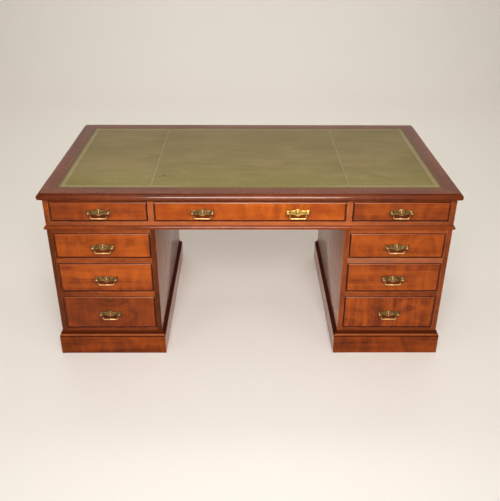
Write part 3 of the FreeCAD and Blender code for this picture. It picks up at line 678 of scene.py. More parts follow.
def wood(name, light, dark, streak, figure, worn=WORN, rough=0.26, coat=0.08, wear=0.5, specular=0.16,
         along=None, handles=None, marked=False):
    """Wood with its own colours. Boards carry their grain in attributes, CAD boards take it along one axis.

    Marked wood is darkened by the dirt and painted shade, and paled by the polish and painted highlights,
    that its points carry."""
    material, mix, shader = new_material(name)
    if along is None:
        place, tone = mix.attribute("grain", "Vector"), mix.attribute("tone")
        half = mix.attribute("half", "Vector")
        mask = mix.use(worn_edges, Place=place, Half=half, Tone=tone, Width=WORN_WIDTH)["Mask"]
    else:
        mapped = mix.node("Mapping")
        mix.put(mapped.inputs, Vector=mix.place(), Rotation=GRAIN_TURN[along])
        place, tone = mapped.outputs[0], 0.5
        mask = mix.level(mix.noise(place, (9.0, 30.0, 30.0), 3.0), 0.62, 0.80)
    grain = mix.use(wood_grain, Place=place, Tone=tone, Light=light, Dark=dark, Streak=streak, Figure=figure)
    old = mix.use(scuffs, Place=place)
    worn_share = mix.times(mask, wear)
    colour = mix.blend(mix.times(old["Patch"], 0.22), grain["Colour"], dark)
    dulled = mix.total((old["Patch"], 0.08), (old["Scratch"], 0.10), (worn_share, 0.20))
    shader.inputs["Coat Weight"].default_value = coat
    if marked:
        dirt_and_shade = mix.attribute("dirt_and_shade")
        colour = mix.blend(dirt_and_shade, colour, DIRT_AND_SHADE)
        colour = mix.blend(mix.attribute("polish_and_highlight"), colour, POLISH_AND_HIGHLIGHT)
        clear_of_marks = mix.minus(1.0, mix.times(dirt_and_shade, COAT_CUT), clamp=True)
        mix.feed(shader.inputs["Coat Weight"], mix.times(clear_of_marks, coat))
        dulled = mix.plus(dulled, mix.times(dirt_and_shade, 0.4))
    # Painted shadow and dirt round each handle on a front.
    if handles is not None:
        hand = mix.attribute("hand", "Vector")
        handle_shadow = mix.use(handle_shadow_and_dirt, Place=hand, Spread=handles * MM)["Mask"]
        colour = mix.blend(mix.times(handle_shadow, HANDLE_SHADOW_AND_DIRT), colour, DIRT_AND_SHADE)
    mix.feed(shader.inputs["Base Color"], mix.blend(worn_share, colour, worn))
    mix.put(shader.inputs, Roughness=mix.plus(mix.plus(grain["Sheen"], dulled), rough, clamp=True))
    shader.inputs["Specular IOR Level"].default_value = specular
    shader.inputs["Coat Roughness"].default_value = COAT_ROUGH
    mix.bump(shader, mix.minus(grain["Height"], mix.times(old["Scratch"], 0.5)), 0.12)
    return material


def leather(name, dye, faded, rub_colour, fresh, gold=None):
    """Dyed hide, rubbed pale where papers lay, with an ink spot, and darker outside the tooled band.

    Plain hide is greener along the front. Gold gives a hide the tooled band, worn off in front."""
    material, mix, shader = new_material(name)
    place = mix.place()
    x, y, _ = mix.parts(place)
    grain = mix.use(hide_grain, Place=place)
    height = grain["Height"]
    colour = mix.blend(grain["Dye"], dye, faded)
    if gold is None:
        colour = mix.blend(mix.level(y, -0.40, -0.10, 0.40, 0.0), colour, fresh)
    colour = mix.blend(mix.times(grain["Rub"], 0.35), colour, rub_colour)
    away = mix.node("VectorMath", operation="DISTANCE")
    mix.fill(away, place, INK_SPOT)
    stain = mix.plus(away.outputs["Value"], mix.times(grain["Dye"], 0.002))
    colour = mix.blend(mix.level(stain, 0.003, 0.010, 0.8, 0.0), colour, INK)
    past = mix.parts(mix.vector("SUBTRACT", mix.vector("ABSOLUTE", place), TOOLED_HALF))
    outside = mix.level(mix.most(past[0], past[1]), -0.001, 0.012, 0.0, 0.85)
    colour = mix.blend(outside, colour, HIDE_MARGIN)
    if gold is not None:
        tooled = mix.use(gold_tooling, Place=mix.attribute("grain", "Vector"))["Mask"]
        kept = mix.times(tooled, mix.minus(0.9, mix.times(grain["Rub"], 0.45)))
        colour = mix.blend(kept, colour, gold)
        middle = mix.level(mix.size(x), 0.12, 0.46, 0.85, 0.0)
        colour = mix.blend(mix.times(middle, mix.fall(y, -0.35, -0.34)), colour, fresh)
        height = mix.minus(height, mix.times(tooled, 1.5))
    mix.feed(shader.inputs["Base Color"], colour)
    mix.put(shader.inputs, Roughness=mix.plus(mix.times(grain["Rub"], 0.14), 0.52))
    shader.inputs["Specular IOR Level"].default_value = 0.32
    mix.bump(shader, height, 0.30)
    return material


def brass(name, bright, dull, rubbed, tarnish, rough):
    """Brass with its patina, rubbed bright where the rub mark on its points says so."""
    material, mix, shader = new_material(name)
    patina = mix.use(brass_patina, Place=mix.place(), Bright=bright, Dull=dull, Tarnish=tarnish)
    rub = mix.attribute("rub")
    colour = mix.blend(mix.attribute("dirt_and_shade"), patina["Colour"], dull)
    mix.feed(shader.inputs["Base Color"], mix.blend(rub, colour, rubbed))
    dulled = mix.times(patina["Sheen"], mix.minus(1.0, mix.times(rub, 0.7)))
    mix.put(shader.inputs, Roughness=mix.plus(dulled, rough))
    shader.inputs["Metallic"].default_value = 1
    mix.bump(shader, patina["Height"], 0.05)
    return material


# Each wood: light and dark colour, depth of its streaks and of its figure, and what else sets it apart.
MARKED = dict(marked=True)
FRONT_MARKS = dict(handles=0, marked=True)
RAW = dict(rough=0.6, coat=0.0, wear=0.4, worn=screen(116, 80, 50))
WOODS = {
    "orange_front": ((200, 97, 21), (130, 54, 8), 0.70, 0.50, FRONT_MARKS),
    "bright_front": ((210, 106, 25), (152, 65, 12), 0.55, 0.75, dict(handles=PAIR_X)),
    "brown_front": ((197, 95, 23), (120, 48, 10), 0.75, 0.45, FRONT_MARKS),
    "russet_front": ((184, 86, 23), (110, 44, 10), 0.75, 0.45, FRONT_MARKS),
    "dark_front": ((155, 68, 16), (89, 34, 7), 0.65, 0.60, FRONT_MARKS),
    "flame_front": ((198, 93, 21), (112, 44, 9), 0.75, 0.55, FRONT_MARKS),
    "panel_wood": ((196, 92, 20), (130, 51, 8), 0.70, 0.55, {}),
    "rail_wood": ((184, 91, 34), (120, 51, 17), 0.70, 0.30, MARKED),
    "frieze_wood": ((194, 106, 57), (138, 67, 33), 0.70, 0.30, MARKED),
    "stile_wood": ((160, 76, 30), (98, 41, 14), 0.70, 0.30, dict(wear=0.6)),
    # A darker copy of stile_wood, as painted shade on the left pedestal.
    "dark_stile_wood": ((116, 52, 18), (66, 27, 8), 0.70, 0.30, dict(wear=0.4, specular=0.10)),
    # A darker finish, as painted shade under the overhang of the top.
    "crown_wood": ((144, 63, 18), (90, 35, 8), 0.70, 0.30, dict(coat=0.02, wear=0.3, specular=0.06)),
    "case_wood": ((178, 96, 36), (114, 55, 20), 0.80, 0.35, dict(rough=0.22, coat=0.35, specular=0.5)),
    "border_wood": ((136, 70, 40), (86, 38, 20), 0.80, 0.30, dict(rough=0.20, coat=0.30)),
    "edge_wood": ((148, 67, 22), (82, 32, 9), 0.70, 0.30,
                  dict(rough=0.12, coat=0.85, specular=0.08, marked=True)),
    "moulding_wood": ((172, 80, 24), (110, 45, 10), 0.70, 0.30,
                      dict(rough=0.16, coat=0.36, specular=0.08, marked=True)),
    "cove_wood": ((158, 77, 18), (106, 45, 8), 0.70, 0.30, dict(coat=0.04, specular=0.05, marked=True)),
    "plinth_wood": ((152, 67, 16), (82, 32, 6), 0.90, 0.55,
                    dict(rough=0.28, coat=0.05, wear=0.7, specular=0.10, marked=True)),
    "bead_wood": ((172, 78, 26), (112, 46, 12), 0.60, 0.20, dict(rough=0.15, coat=0.45, marked=True)),
    "lining_wood": ((196, 150, 98), (150, 104, 62), 0.75, 0.15,
                    dict(rough=0.55, coat=0.0, wear=0.35, worn=screen(120, 84, 52))),
    "pine_x": ((188, 142, 92), (142, 98, 58), 0.80, 0.15, dict(RAW, along="X")),
    "pine_y": ((184, 138, 90), (138, 96, 56), 0.80, 0.15, dict(RAW, along="Y")),
}
HIDES = {
    "olive_hide": ((107, 94, 45), (138, 121, 79), (154, 139, 102), (118, 111, 40)),
    "tooled_hide": ((112, 99, 57), (139, 124, 85), (154, 140, 105), (121, 112, 49), (172, 157, 119)),
}
BRASSES = {
    "old_brass": ((197, 165, 108), (96, 72, 40), (220, 174, 116), 0.45, 0.27),
    "rubbed_brass": ((232, 196, 108), (170, 132, 60), (240, 202, 130), 0.25, 0.22),
    "worn_brass": ((176, 104, 66), (132, 72, 40), (214, 150, 110), 0.35, 0.40),
    "dark_brass": ((136, 114, 66), (76, 60, 34), (190, 160, 100), 0.70, 0.30),
}
FINISHES = {}
for name, (light, dark, streak, figure, others) in WOODS.items():
    FINISHES[name] = wood(name, screen(*light), screen(*dark), streak, figure, **others)
for name, colours in HIDES.items():
    FINISHES[name] = leather(name, *[screen(*colour) for colour in colours])
for name, (bright, dull, rubbed, tarnish, rough) in BRASSES.items():
    FINISHES[name] = brass(name, screen(*bright), screen(*dull), screen(*rubbed), tarnish, rough)


def dress(piece, body, slot, finish, *nodes):
    """Give a piece its finish, the body it rides on and the CAD nodes that it stands for."""
    if finish is not None:
        piece.data.materials.clear()
        piece.data.materials.append(FINISHES[finish])
    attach(piece, body)
    if nodes:
        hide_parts(*nodes)
    return piece


def finish_faces(piece, finish, axis):
    """A second finish, on the faces that look along one axis."""
    piece.data.materials.append(FINISHES[finish])
    open_mesh(piece)
    pick_faces(piece, lambda normal: abs(normal[axis]) > FACING)
    piece.active_material_index = 1
    bpy.ops.object.material_slot_assign()
    close_mesh()


def edge_finish(piece):
    """Two finishes on upright boards: one on their faces, one on the edges at the front and the rear."""
    piece.data.materials.append(FINISHES["case_wood"])
    finish_faces(piece, "stile_wood", 1)
    return piece


# Desk top: four rails with a moulded edge and rounded corners, and three leather skins.
EDGE_SECTION = trace((2.5, 0), [
    (EDGE_CORNER, 0),
    (EDGE_CORNER, TOP_HEIGHT),
    (14, TOP_HEIGHT),
    (14, 22.4),
    (8, 17.4, 6.0, -1),
    (0, 8, 12, 1),
    (0, 3.5),
    (2.5, 0, 3.5, 1),
])
BORDER_SECTION = [(EDGE_CORNER, 0), (LIP, 0), (LIP, LIP_HEIGHT), (BORDER, LIP_HEIGHT), (BORDER, 23.4),
                  (BORDER - 0.6, TOP_HEIGHT), (EDGE_CORNER, TOP_HEIGHT)]
CORNER_STEPS = 6
EDGE_STEPS = 24
EDGE_COVE = 20.3
EDGE_COVE_HALF = 3.6
EDGE_COVE_SHADE = 0.64
END_SHADE = 0.34
END_COVE_SHADE = 0.2
RUBBED_SHARE = 0.35
CREST = 14.8
CREST_HALF = 1.7
CREST_HIGHLIGHT = 0.15
CREST_SHARE = 0.55


def edge_shade(height, share):
    """Painted shade in the hollow of the top's edge, by the height in its section, and towards the ends of a
    rail.
    """
    hollow = max(1 - abs(height - EDGE_COVE) / EDGE_COVE_HALF, 0)
    end = max(share - RUBBED_SHARE, 0) / (1 - RUBBED_SHARE)
    return max(EDGE_COVE_SHADE * hollow, END_SHADE * end) + END_COVE_SHADE * hollow * end


def edge_highlight(height, share):
    """A painted highlight on the crest of the top's edge in the middle of a rail, partly pale wear where
    forearms rub.
    """
    crest = max(1 - abs(height - CREST) / CREST_HALF, 0)
    return CREST_HIGHLIGHT * crest * max(1 - share / CREST_SHARE, 0)


def border_rail(name, half_x, half_y):
    """A front rail of the top: a moulded edge that takes half of each rounded corner, and a mitred board."""
    run = half_x - EDGE_CORNER
    section = [(-run, u - half_y, TOP_FOOT + v) for u, v in EDGE_SECTION]
    edge = outline_piece(f"{name}_edge", section, "NOTHING")
    open_mesh(edge, "VERT")
    for step in range(EDGE_STEPS):
        extrude(x=2 * run / EDGE_STEPS)
    for side in (1, -1):
        pick_points(edge, lambda point: abs(point.x - side * run * MM) < HAIR * MM)
        bpy.ops.mesh.spin(steps=CORNER_STEPS, angle=-side * math.pi / 4,
                          center=(side * run * MM, (EDGE_CORNER - half_y) * MM, 0), axis=(0, 0, 1))
        bpy.ops.mesh.edge_face_add()
    face_outwards()
    close_mesh()
    mark_grain(smooth(edge), "X", worn=False)
    # Painted shade in the hollow and towards the ends, and a painted highlight on the crest.
    for mark, share in (("dirt_and_shade", edge_shade), ("polish_and_highlight", edge_highlight)):
        mark_points(edge, mark, lambda point: share(point.z - TOP_FOOT, abs(point.x) / half_x))
    edge.data.materials.append(FINISHES["edge_wood"])
    flat = mitred_strip(f"{name}_board", BORDER_SECTION, half_x, half_y, TOP_FOOT)
    flat.data.materials.append(FINISHES["border_wood"])
    return join(name, [edge, flat])


front_border = border_rail("top_border_front", TOP_X, TOP_Y)
right_border = border_rail("top_border_right", TOP_Y, TOP_X)
rear_border = copy_of(front_border, "top_border_rear", turn(180))
left_border = copy_of(right_border, "top_border_left", turn(-90))
right_border.data.transform(turn(90))
for rail in (front_border, right_border, rear_border, left_border):
    dress(rail, "case", "mahogany", None, "top_frame")

SKIN_GAP = 0.25
SKIN_ROLL = 0.4
SKIN_Y = LEATHER_Y - SKIN_GAP
for name, x_low, x_high in (
    ("leather_left", -LEATHER_X, -SEAM_X),
    ("leather_centre", -SEAM_X, SEAM_X),
    ("leather_right", SEAM_X, LEATHER_X),
):
    skin = block(name, (x_low + SKIN_GAP, -SKIN_Y, LEATHER_FOOT), (x_high - SKIN_GAP, SKIN_Y, LEATHER_TOP))
    dress(ease(skin, SKIN_ROLL), "case", "leather", "olive_hide", "leather_panels")


def sided(side, near, far):
    """The low and the high X of a span on one side of the desk."""
    return sorted((side * near, side * far))


TOOLING_SECTION = [(0, 0), (TOOLING, 0), (TOOLING, TOOLING_HEIGHT), (0, TOOLING_HEIGHT)]
TOOLING_TOP = TOOLING_FOOT + TOOLING_HEIGHT
SEAM_LENGTH = LEATHER_Y - TOOLING_SET - TOOLING
tooled_bands = [mitred_frame("tooled_band", TOOLING_SECTION, LEATHER_X - TOOLING_SET, LEATHER_Y - TOOLING_SET,
                             TOOLING_FOOT)]
for side in (-1, 1):
    x_low, x_high = sided(side, SEAM_X, SEAM_X - SEAM_TOOLING)
    seam_band = block("seam_band", (x_low, -SEAM_LENGTH, TOOLING_FOOT), (x_high, SEAM_LENGTH, TOOLING_TOP))
    tooled_bands.append(mark_grain(seam_band, "Y"))
dress(join("leather_tooling", tooled_bands), "case", "leather", "tooled_hide", "leather_panels")

# Frieze: end boards, rails, dividers and the spine between the front and the rear drawers.
FRIEZE_END_SHADE = 0.46
ends = [board("frieze_end", (INNER_X, -CASE_Y, PEDESTAL_TOP), (CASE_X, CASE_Y, TOP_FOOT), "Y")]
ends.append(copy_of(ends[0], "frieze_end", move(x=-CASE_X - INNER_X)))
dress(edge_finish(join("frieze_end_boards", ends)), "case", "mahogany", None, "frieze_ends")


def rail_pair(name, foot, head):
    """A front rail and its copy at the rear."""
    front = board(name, (-INNER_X, -CASE_Y, foot), (INNER_X, -RAIL_BACK, head))
    return [front, copy_of(front, name, move(y=CASE_Y + RAIL_BACK))]


# The crown rails take a darker finish, as painted shade under the overhang of the top.
crown_rails = join("crown_rails", rail_pair("crown_rail", FRIEZE_HEAD, TOP_FOOT))
dress(crown_rails, "case", "mahogany", "crown_wood", "frieze_frame")
rails = rail_pair("frieze_rail", PEDESTAL_TOP, FRIEZE_FOOT)
for rail in rails:
    score(rail, -KNEE_X, KNEE_X)
divider = board("divider", (KNEE_X, -CASE_Y, FRIEZE_FOOT), (DIVIDER_X, -SPINE, FRIEZE_HEAD), "Z")
for x in (0, -KNEE_X - DIVIDER_X):
    for y in (0, CASE_Y + SPINE):
        rails.append(copy_of(divider, "divider", move(x, y)))
discard([divider])
rails.append(board("spine", (-INNER_X, -SPINE, PEDESTAL_TOP), (INNER_X, SPINE, TOP_FOOT)))
# The frieze rails carry painted shade that deepens towards the ends of the desk.
frieze_rails = mark_points(join("frieze_rails", rails), "dirt_and_shade", lambda point: FRIEZE_END_SHADE * end_share(point))
dress(frieze_rails, "case", "mahogany", "frieze_wood", "frieze_frame")

WAIST_PROUD = 8
WAIST_HEIGHT = 14
WAIST_SECTION = trace((0, 0), [
    (WAIST_PROUD, 0), (WAIST_PROUD, WAIST_HEIGHT), (6, WAIST_HEIGHT), (0, 4, 13, 1),
])
WAIST_END_SHADE = 0.30
WAIST_JOINT_DIRT = 0.75


def waist_dirt_and_shade(point):
    """Dirt in the joint above the moulding, and painted shade towards its ends."""
    joint = point.z - PEDESTAL_TOP > WAIST_HEIGHT - HAIR
    return max(WAIST_JOINT_DIRT if joint else 0, WAIST_END_SHADE * end_share(point))


waist = mitred_frame("waist_strips", WAIST_SECTION, CASE_X + WAIST_PROUD, CASE_Y + WAIST_PROUD, PEDESTAL_TOP,
                     [{"dirt_and_shade": waist_dirt_and_shade}] * 3, steps=4)
dress(waist, "case", "mahogany", "moulding_wood", "waist_moulding")

# Pedestals, modelled about X 0 and set down on the left and on the right.
sides = [board("pedestal_side", (BAY_HALF, -CASE_Y, PLINTH_TOP), (PEDESTAL_HALF, CASE_Y, PEDESTAL_TOP), "Z")]
sides.append(copy_of(sides[0], "pedestal_side", move(x=-BAY_HALF - PEDESTAL_HALF)))
pedestal_sides = edge_finish(join("pedestal_side_boards", sides))

rails = []
for (foot, head), depth, rear in (
    ((PLINTH_TOP, FOOT_RAIL_TOP), BOARD, True),
    (LOW_RAIL, RAIL_DEPTH, False),
    (HIGH_RAIL, RAIL_DEPTH, False),
    ((HEAD_RAIL, PEDESTAL_TOP), RAIL_DEPTH, True),
):
    rails.append(board("pedestal_rail", (-BAY_HALF, -CASE_Y, foot), (BAY_HALF, depth - CASE_Y, head)))
    if rear:
        rails.append(copy_of(rails[-1], "pedestal_rail", move(y=2 * CASE_Y - depth)))
pedestal_rails = join("pedestal_rails", rails)

PLINTH_PROUD = 13
PLINTH_BOARD = 33
PLINTH_EASE = 1.5
PLINTH_LIP = 90
PLINTH_SECTION = [(0, PLINTH_EASE), (PLINTH_EASE, 0), (PLINTH_BOARD, 0), (PLINTH_BOARD, PLINTH_TOP),
                  (PLINTH_PROUD, PLINTH_TOP), (PLINTH_PROUD, PLINTH_LIP), (PLINTH_EASE, PLINTH_LIP),
                  (0, PLINTH_LIP - PLINTH_EASE), (0, PLINTH_LIP - 2 * PLINTH_EASE)]
COVE_HEIGHT = 25
COVE_FOOT = 10
COVE_SECTION = trace((PLINTH_EASE, 0), [
    (PLINTH_PROUD, 0),
    (PLINTH_PROUD, COVE_HEIGHT),
    (PLINTH_PROUD - PLINTH_EASE, COVE_HEIGHT),
    (4.5, COVE_FOOT, 16, -1),
    (0, 2, 13, 1),
    (PLINTH_EASE, 0),
])
PLINTH_HALVES = (PEDESTAL_HALF + PLINTH_PROUD, CASE_Y + PLINTH_PROUD)
COVE_SHADE = 1.0
COVE_SHADE_FADE = 0.35
COVE_JOINT = 2.1
SIDE_COVE_SHADE = 0.9
LIP_CREST = 5
LIP_HIGHLIGHT = 0.05


def cove_shade(point):
    """Painted shade in the cove, less of it at its top, and a dark joint between the cove and the board under
    it.
    """
    rise = point.z - PLINTH_LIP
    if rise > COVE_FOOT + HAIR:
        return COVE_SHADE - COVE_SHADE_FADE * (rise - COVE_FOOT) / (COVE_HEIGHT - COVE_FOOT)
    return COVE_SHADE if abs(rise) < COVE_JOINT else 0


# A faint painted highlight on the lip of the cove.
def lip_highlight(point):
    return LIP_HIGHLIGHT if LIP_CREST < point.z - PLINTH_LIP < COVE_FOOT + HAIR else 0


# Painted shade in the coves, over the whole of the side strips, and a faint painted highlight on the lip.
cove_marks = {"dirt_and_shade": cove_shade, "polish_and_highlight": lip_highlight}
plinth_boards = mitred_frame("plinth_boards", PLINTH_SECTION, *PLINTH_HALVES,
                             marks=[{"dirt_and_shade": cove_shade}] * 3)
plinth_cove = mitred_frame("plinth_cove", COVE_SECTION, *PLINTH_HALVES, PLINTH_LIP,
                           [cove_marks, cove_marks, {"dirt_and_shade": lambda point: SIDE_COVE_SHADE}])

# Painted shade on the rails of each pedestal from the foot up, more on the left, and the rail that hands have
# rubbed pale.
RAIL_SHADE = {"left": (0.55, 0.62, 0.16, 0.50), "right": (0.50, 0.58, 0.06, 0.06)}
RAIL_LEVELS = (200, 400, 540)
PALE_RAIL = {"left": 0.0, "right": 0.13}
PALE_RAIL_ROW = 2


def rail_shade(point, label):
    """Painted shade: the lowest rail is darker all along, the others more towards the end of the desk."""
    row = sum(point.z > height for height in RAIL_LEVELS)
    return RAIL_SHADE[label][row] * (end_share(point) if row else 1)


def rail_polish(point, label):
    row = sum(point.z > height for height in RAIL_LEVELS)
    return PALE_RAIL[label] * (1 - end_share(point) / 2) if row == PALE_RAIL_ROW else 0


PEDESTAL = (
    (pedestal_sides, "side_boards", None, "pedestal_sides"),
    (pedestal_rails, "front_rails", "rail_wood", "pedestal_rails"),
    (plinth_boards, "plinth_boards", "plinth_wood", "plinth"),
    (plinth_cove, "plinth_cove", "cove_wood", "plinth"),
)
for side, label in ((-1, "left"), (1, "right")):
    for pattern, name, finish, node in PEDESTAL:
        made = copy_of(pattern, f"{label}_{name}", move(x=side * PEDESTAL_X))
        dress(made, "case", "mahogany", finish, f"{label}_{node}")
    finish_faces(bpy.data.objects[f"{label}_plinth_boards"], "case_wood", 0)
    for mark, share in (("dirt_and_shade", rail_shade), ("polish_and_highlight", rail_polish)):
        mark_points(bpy.data.objects[f"{label}_front_rails"], mark, lambda point: share(point, label))
# The left pedestal's stiles take the darker copy of the stile finish, as painted shade.
bpy.data.objects["left_side_boards"].data.materials[1] = FINISHES["dark_stile_wood"]
discard([row[0] for row in PEDESTAL])

# Drawers: a front rebated for its bead, dovetailed sides and back, and a bottom in grooves.
BEAD_SECTION = trace((0, 0), [(BEAD_WIDTH, 0), (BEAD_WIDTH, BEAD_SET), (0, BEAD_SET, BEAD_ROUND, 1)])
BEAD_FOOT_SHADE = 0.95
BEAD_SIDE_SHADE = 0.6
BEAD_TOP_SHADE = 1.0
BEAD_QUIRK_SHADE = 0.55
BEAD_QUIRK = 1
BEAD_HIGHLIGHT = 0.62
BEAD_HIGHLIGHT_REACH = 720
BEAD_CREST = 2.6
FRONT_END_SHADE = 0.17


def bead_top_shade(depth):
    """Painted shade on the top bead by the depth from its outer edge: on its upper face and in the quirk
    below.
    """
    if depth < HAIR:
        return BEAD_TOP_SHADE
    return BEAD_QUIRK_SHADE if depth > BEAD_WIDTH - HAIR else 0


def bead_side_shade(depth):
    return BEAD_SIDE_SHADE if BEAD_QUIRK < depth < BEAD_WIDTH - BEAD_QUIRK else 1


def fade_highlight(bead):
    """Less of the painted highlight on a bead the farther it is from the middle of the desk."""
    for mark, point in zip(bead.data.attributes["polish_and_highlight"].data, bead.data.vertices):
        mark.value *= max(1 - abs(point.co.x) / (BEAD_HIGHLIGHT_REACH * MM), 0)


def dovetail_edge(end, root, rise, tails):
    """Points up one end of a drawer side: tails at its end, wide at the end and narrow at the root."""
    pitch = rise / tails
    points = [(root, DRAWER_LIFT)]
    for tail in range(tails):
        low = DRAWER_LIFT + tail * pitch
        points += [(root, low + PIN_WIDE * pitch), (end, low + PIN_NARROW * pitch),
                   (end, low + pitch - PIN_NARROW * pitch), (root, low + pitch - PIN_WIDE * pitch)]
    points.append((root, DRAWER_LIFT + rise))
    return points


def make_drawer(name, width, foot, head, tails, along, handle_drop):
    """Front, bead and lining of a drawer: front face at Y 0, opening's foot at Z 0, centred on X."""
    height = head - foot
    half = width / 2 - GAP
    rise = height - HEADROOM
    back_face = DRAWER_LENGTH - LINING
    front = block(f"{name}_front", (-half, BEAD_SET, GAP), (half, FRONT, height - GAP))
    open_mesh(front)
    pick_faces(front, lambda normal: normal.y < -FACING)
    inset(BEAD_WIDTH)
    extrude(y=-BEAD_SET)
    close_mesh()

    edge = dovetail_edge(TAIL_END, FRONT, rise, tails)
    edge += dovetail_edge(DRAWER_LENGTH, back_face, rise, tails)[::-1]
    right = outline_piece(f"{name}_side", [(half - LINING, y, z) for y, z in edge])
    open_mesh(right)
    extrude(x=LINING)
    face_outwards()
    close_mesh()
    mark_grain(right, "Y")
    left = copy_of(right, f"{name}_side", move(x=LINING - 2 * half))
    back_head = DRAWER_LIFT + rise - BACK_DROP
    back = block(f"{name}_back", (-half, back_face, BOTTOM_HIGH), (half, DRAWER_LENGTH, back_head))
    for tool in (left, right):
        cut_away(front, tool)
        cut_away(back, tool)
    mark_grain(smooth(front), along)
    mark_grain(smooth(back), "X")
    handle_place = Vector((0, 0, (height / 2 - handle_drop) * MM))
    hand = [value for point in front.data.vertices for value in point.co - handle_place]
    front.data.attributes.new("hand", "FLOAT_VECTOR", "POINT").data.foreach_set("vector", hand)
    reach = half - LINING + GROOVE
    bottom = board(f"{name}_bottom", (-reach, FRONT - GROOVE, BOTTOM_LOW),
                   (reach, DRAWER_LENGTH, BOTTOM_HIGH))
    lining = join(f"{name}_lining", [left, right, back, bottom])

    upper_edge = height / 2 - GAP
    # Painted shade on the bottom bead, on the side beads and in the gap and quirk of the top bead, and a
    # painted highlight on the top bead's crest.
    bead_marks = (
        {"dirt_and_shade": lambda point: BEAD_FOOT_SHADE},
        {"dirt_and_shade": lambda point: bead_top_shade(upper_edge - point.y),
         "polish_and_highlight": lambda point: BEAD_HIGHLIGHT if HAIR < upper_edge - point.y < BEAD_CREST else 0},
        {"dirt_and_shade": lambda point: bead_side_shade(point.y + half)},
    )
    bead = mitred_frame(f"{name}_bead", BEAD_SECTION, half, upper_edge, marks=bead_marks, steps=2)
    bead.data.transform(move(y=BEAD_SET, z=height / 2) @ turn(90, "X"))
    return {"front": front, "lining": lining, "bead": bead}


# Each size of drawer: width, foot and head of its opening, tails, way of the grain, handle drop and handles.
BAY = 2 * BAY_HALF
FRIEZE = (FRIEZE_FOOT, FRIEZE_HEAD)
PATTERNS = {
    "side_frieze": (SIDE_BAY, *FRIEZE, 2, "X", FRIEZE_HANDLE_DROP, (0,)),
    "centre_frieze": (2 * KNEE_X, *FRIEZE, 2, "X", FRIEZE_HANDLE_DROP, (-PAIR_X, PAIR_X)),
    "upper": (BAY, HIGH_RAIL[1], HEAD_RAIL, 3, "X", PEDESTAL_HANDLE_DROP, (0,)),
    "middle": (BAY, LOW_RAIL[1], HIGH_RAIL[0], 3, "X", PEDESTAL_HANDLE_DROP, (0,)),
    "lower": (BAY, FOOT_RAIL_TOP, LOW_RAIL[0], 4, "Z", PEDESTAL_HANDLE_DROP, (0,)),
}
drawer_patterns = {name: make_drawer(name, *values[:6]) for name, values in PATTERNS.items()}

# Handles: a shaped back plate with a ring and a button, two turned posts with their nuts, and a bail.
PLATE = 2.2
PLATE_OUTLINE = trace((45.5, -10), [
    (49.5, 13.5, 36, -1),
    (12, 10, 48, -1),
    (-12, 10, 16, 1),
    (-49.5, 13.5, 48, -1),
    (-45.5, -10, 36, -1),
    (-12, -10, 60, -1),
    (12, -10, 16, 1),
    (45.5, -10, 60, -1),
])
PLATE_RIM = 0.9
PLATE_RIM_RISE = 0.5
PLATE_SLOPE = 0.7
PLATE_SLOPE_FALL = 0.35
PLATE_GRIME = 0.9
PLATE_CLEAN_X = 26
PLATE_FADE = 20
RING_SEAT = 1.2
RING_RADIUS = 10
RING_ROUND = 1.8
RING_STEPS = 12
RING_OVAL = Matrix.Diagonal((1.0, 1.1, 1.0, 1))
RING_RUB = 5
HOLLOW_RADIUS = 9.4
HOLLOW_GRIME = 0.6
BUTTON_RADIUS = 3.2
BUTTON_RISE = 3.2
BUTTON_OVAL = Matrix.Diagonal((1.4, 2.2, 1.0, 1))
POST_PROFILE = trace((0, -26), [
    (2.4, -26), (2.4, PLATE), (6.2, PLATE), (6.2, 3.2), (4.6, 4.4), (3, 5.2), (3, 8.6), (0, 16.5, 4.5, 1),
])
POST_STEPS = 24
POST_RUB_FOOT = 9
POST_RUB = 7
NUT_HALF = 5.5
NUT_HEIGHT = 4
NUT_EASE = 0.7
UPRIGHT = turn(90, "X")


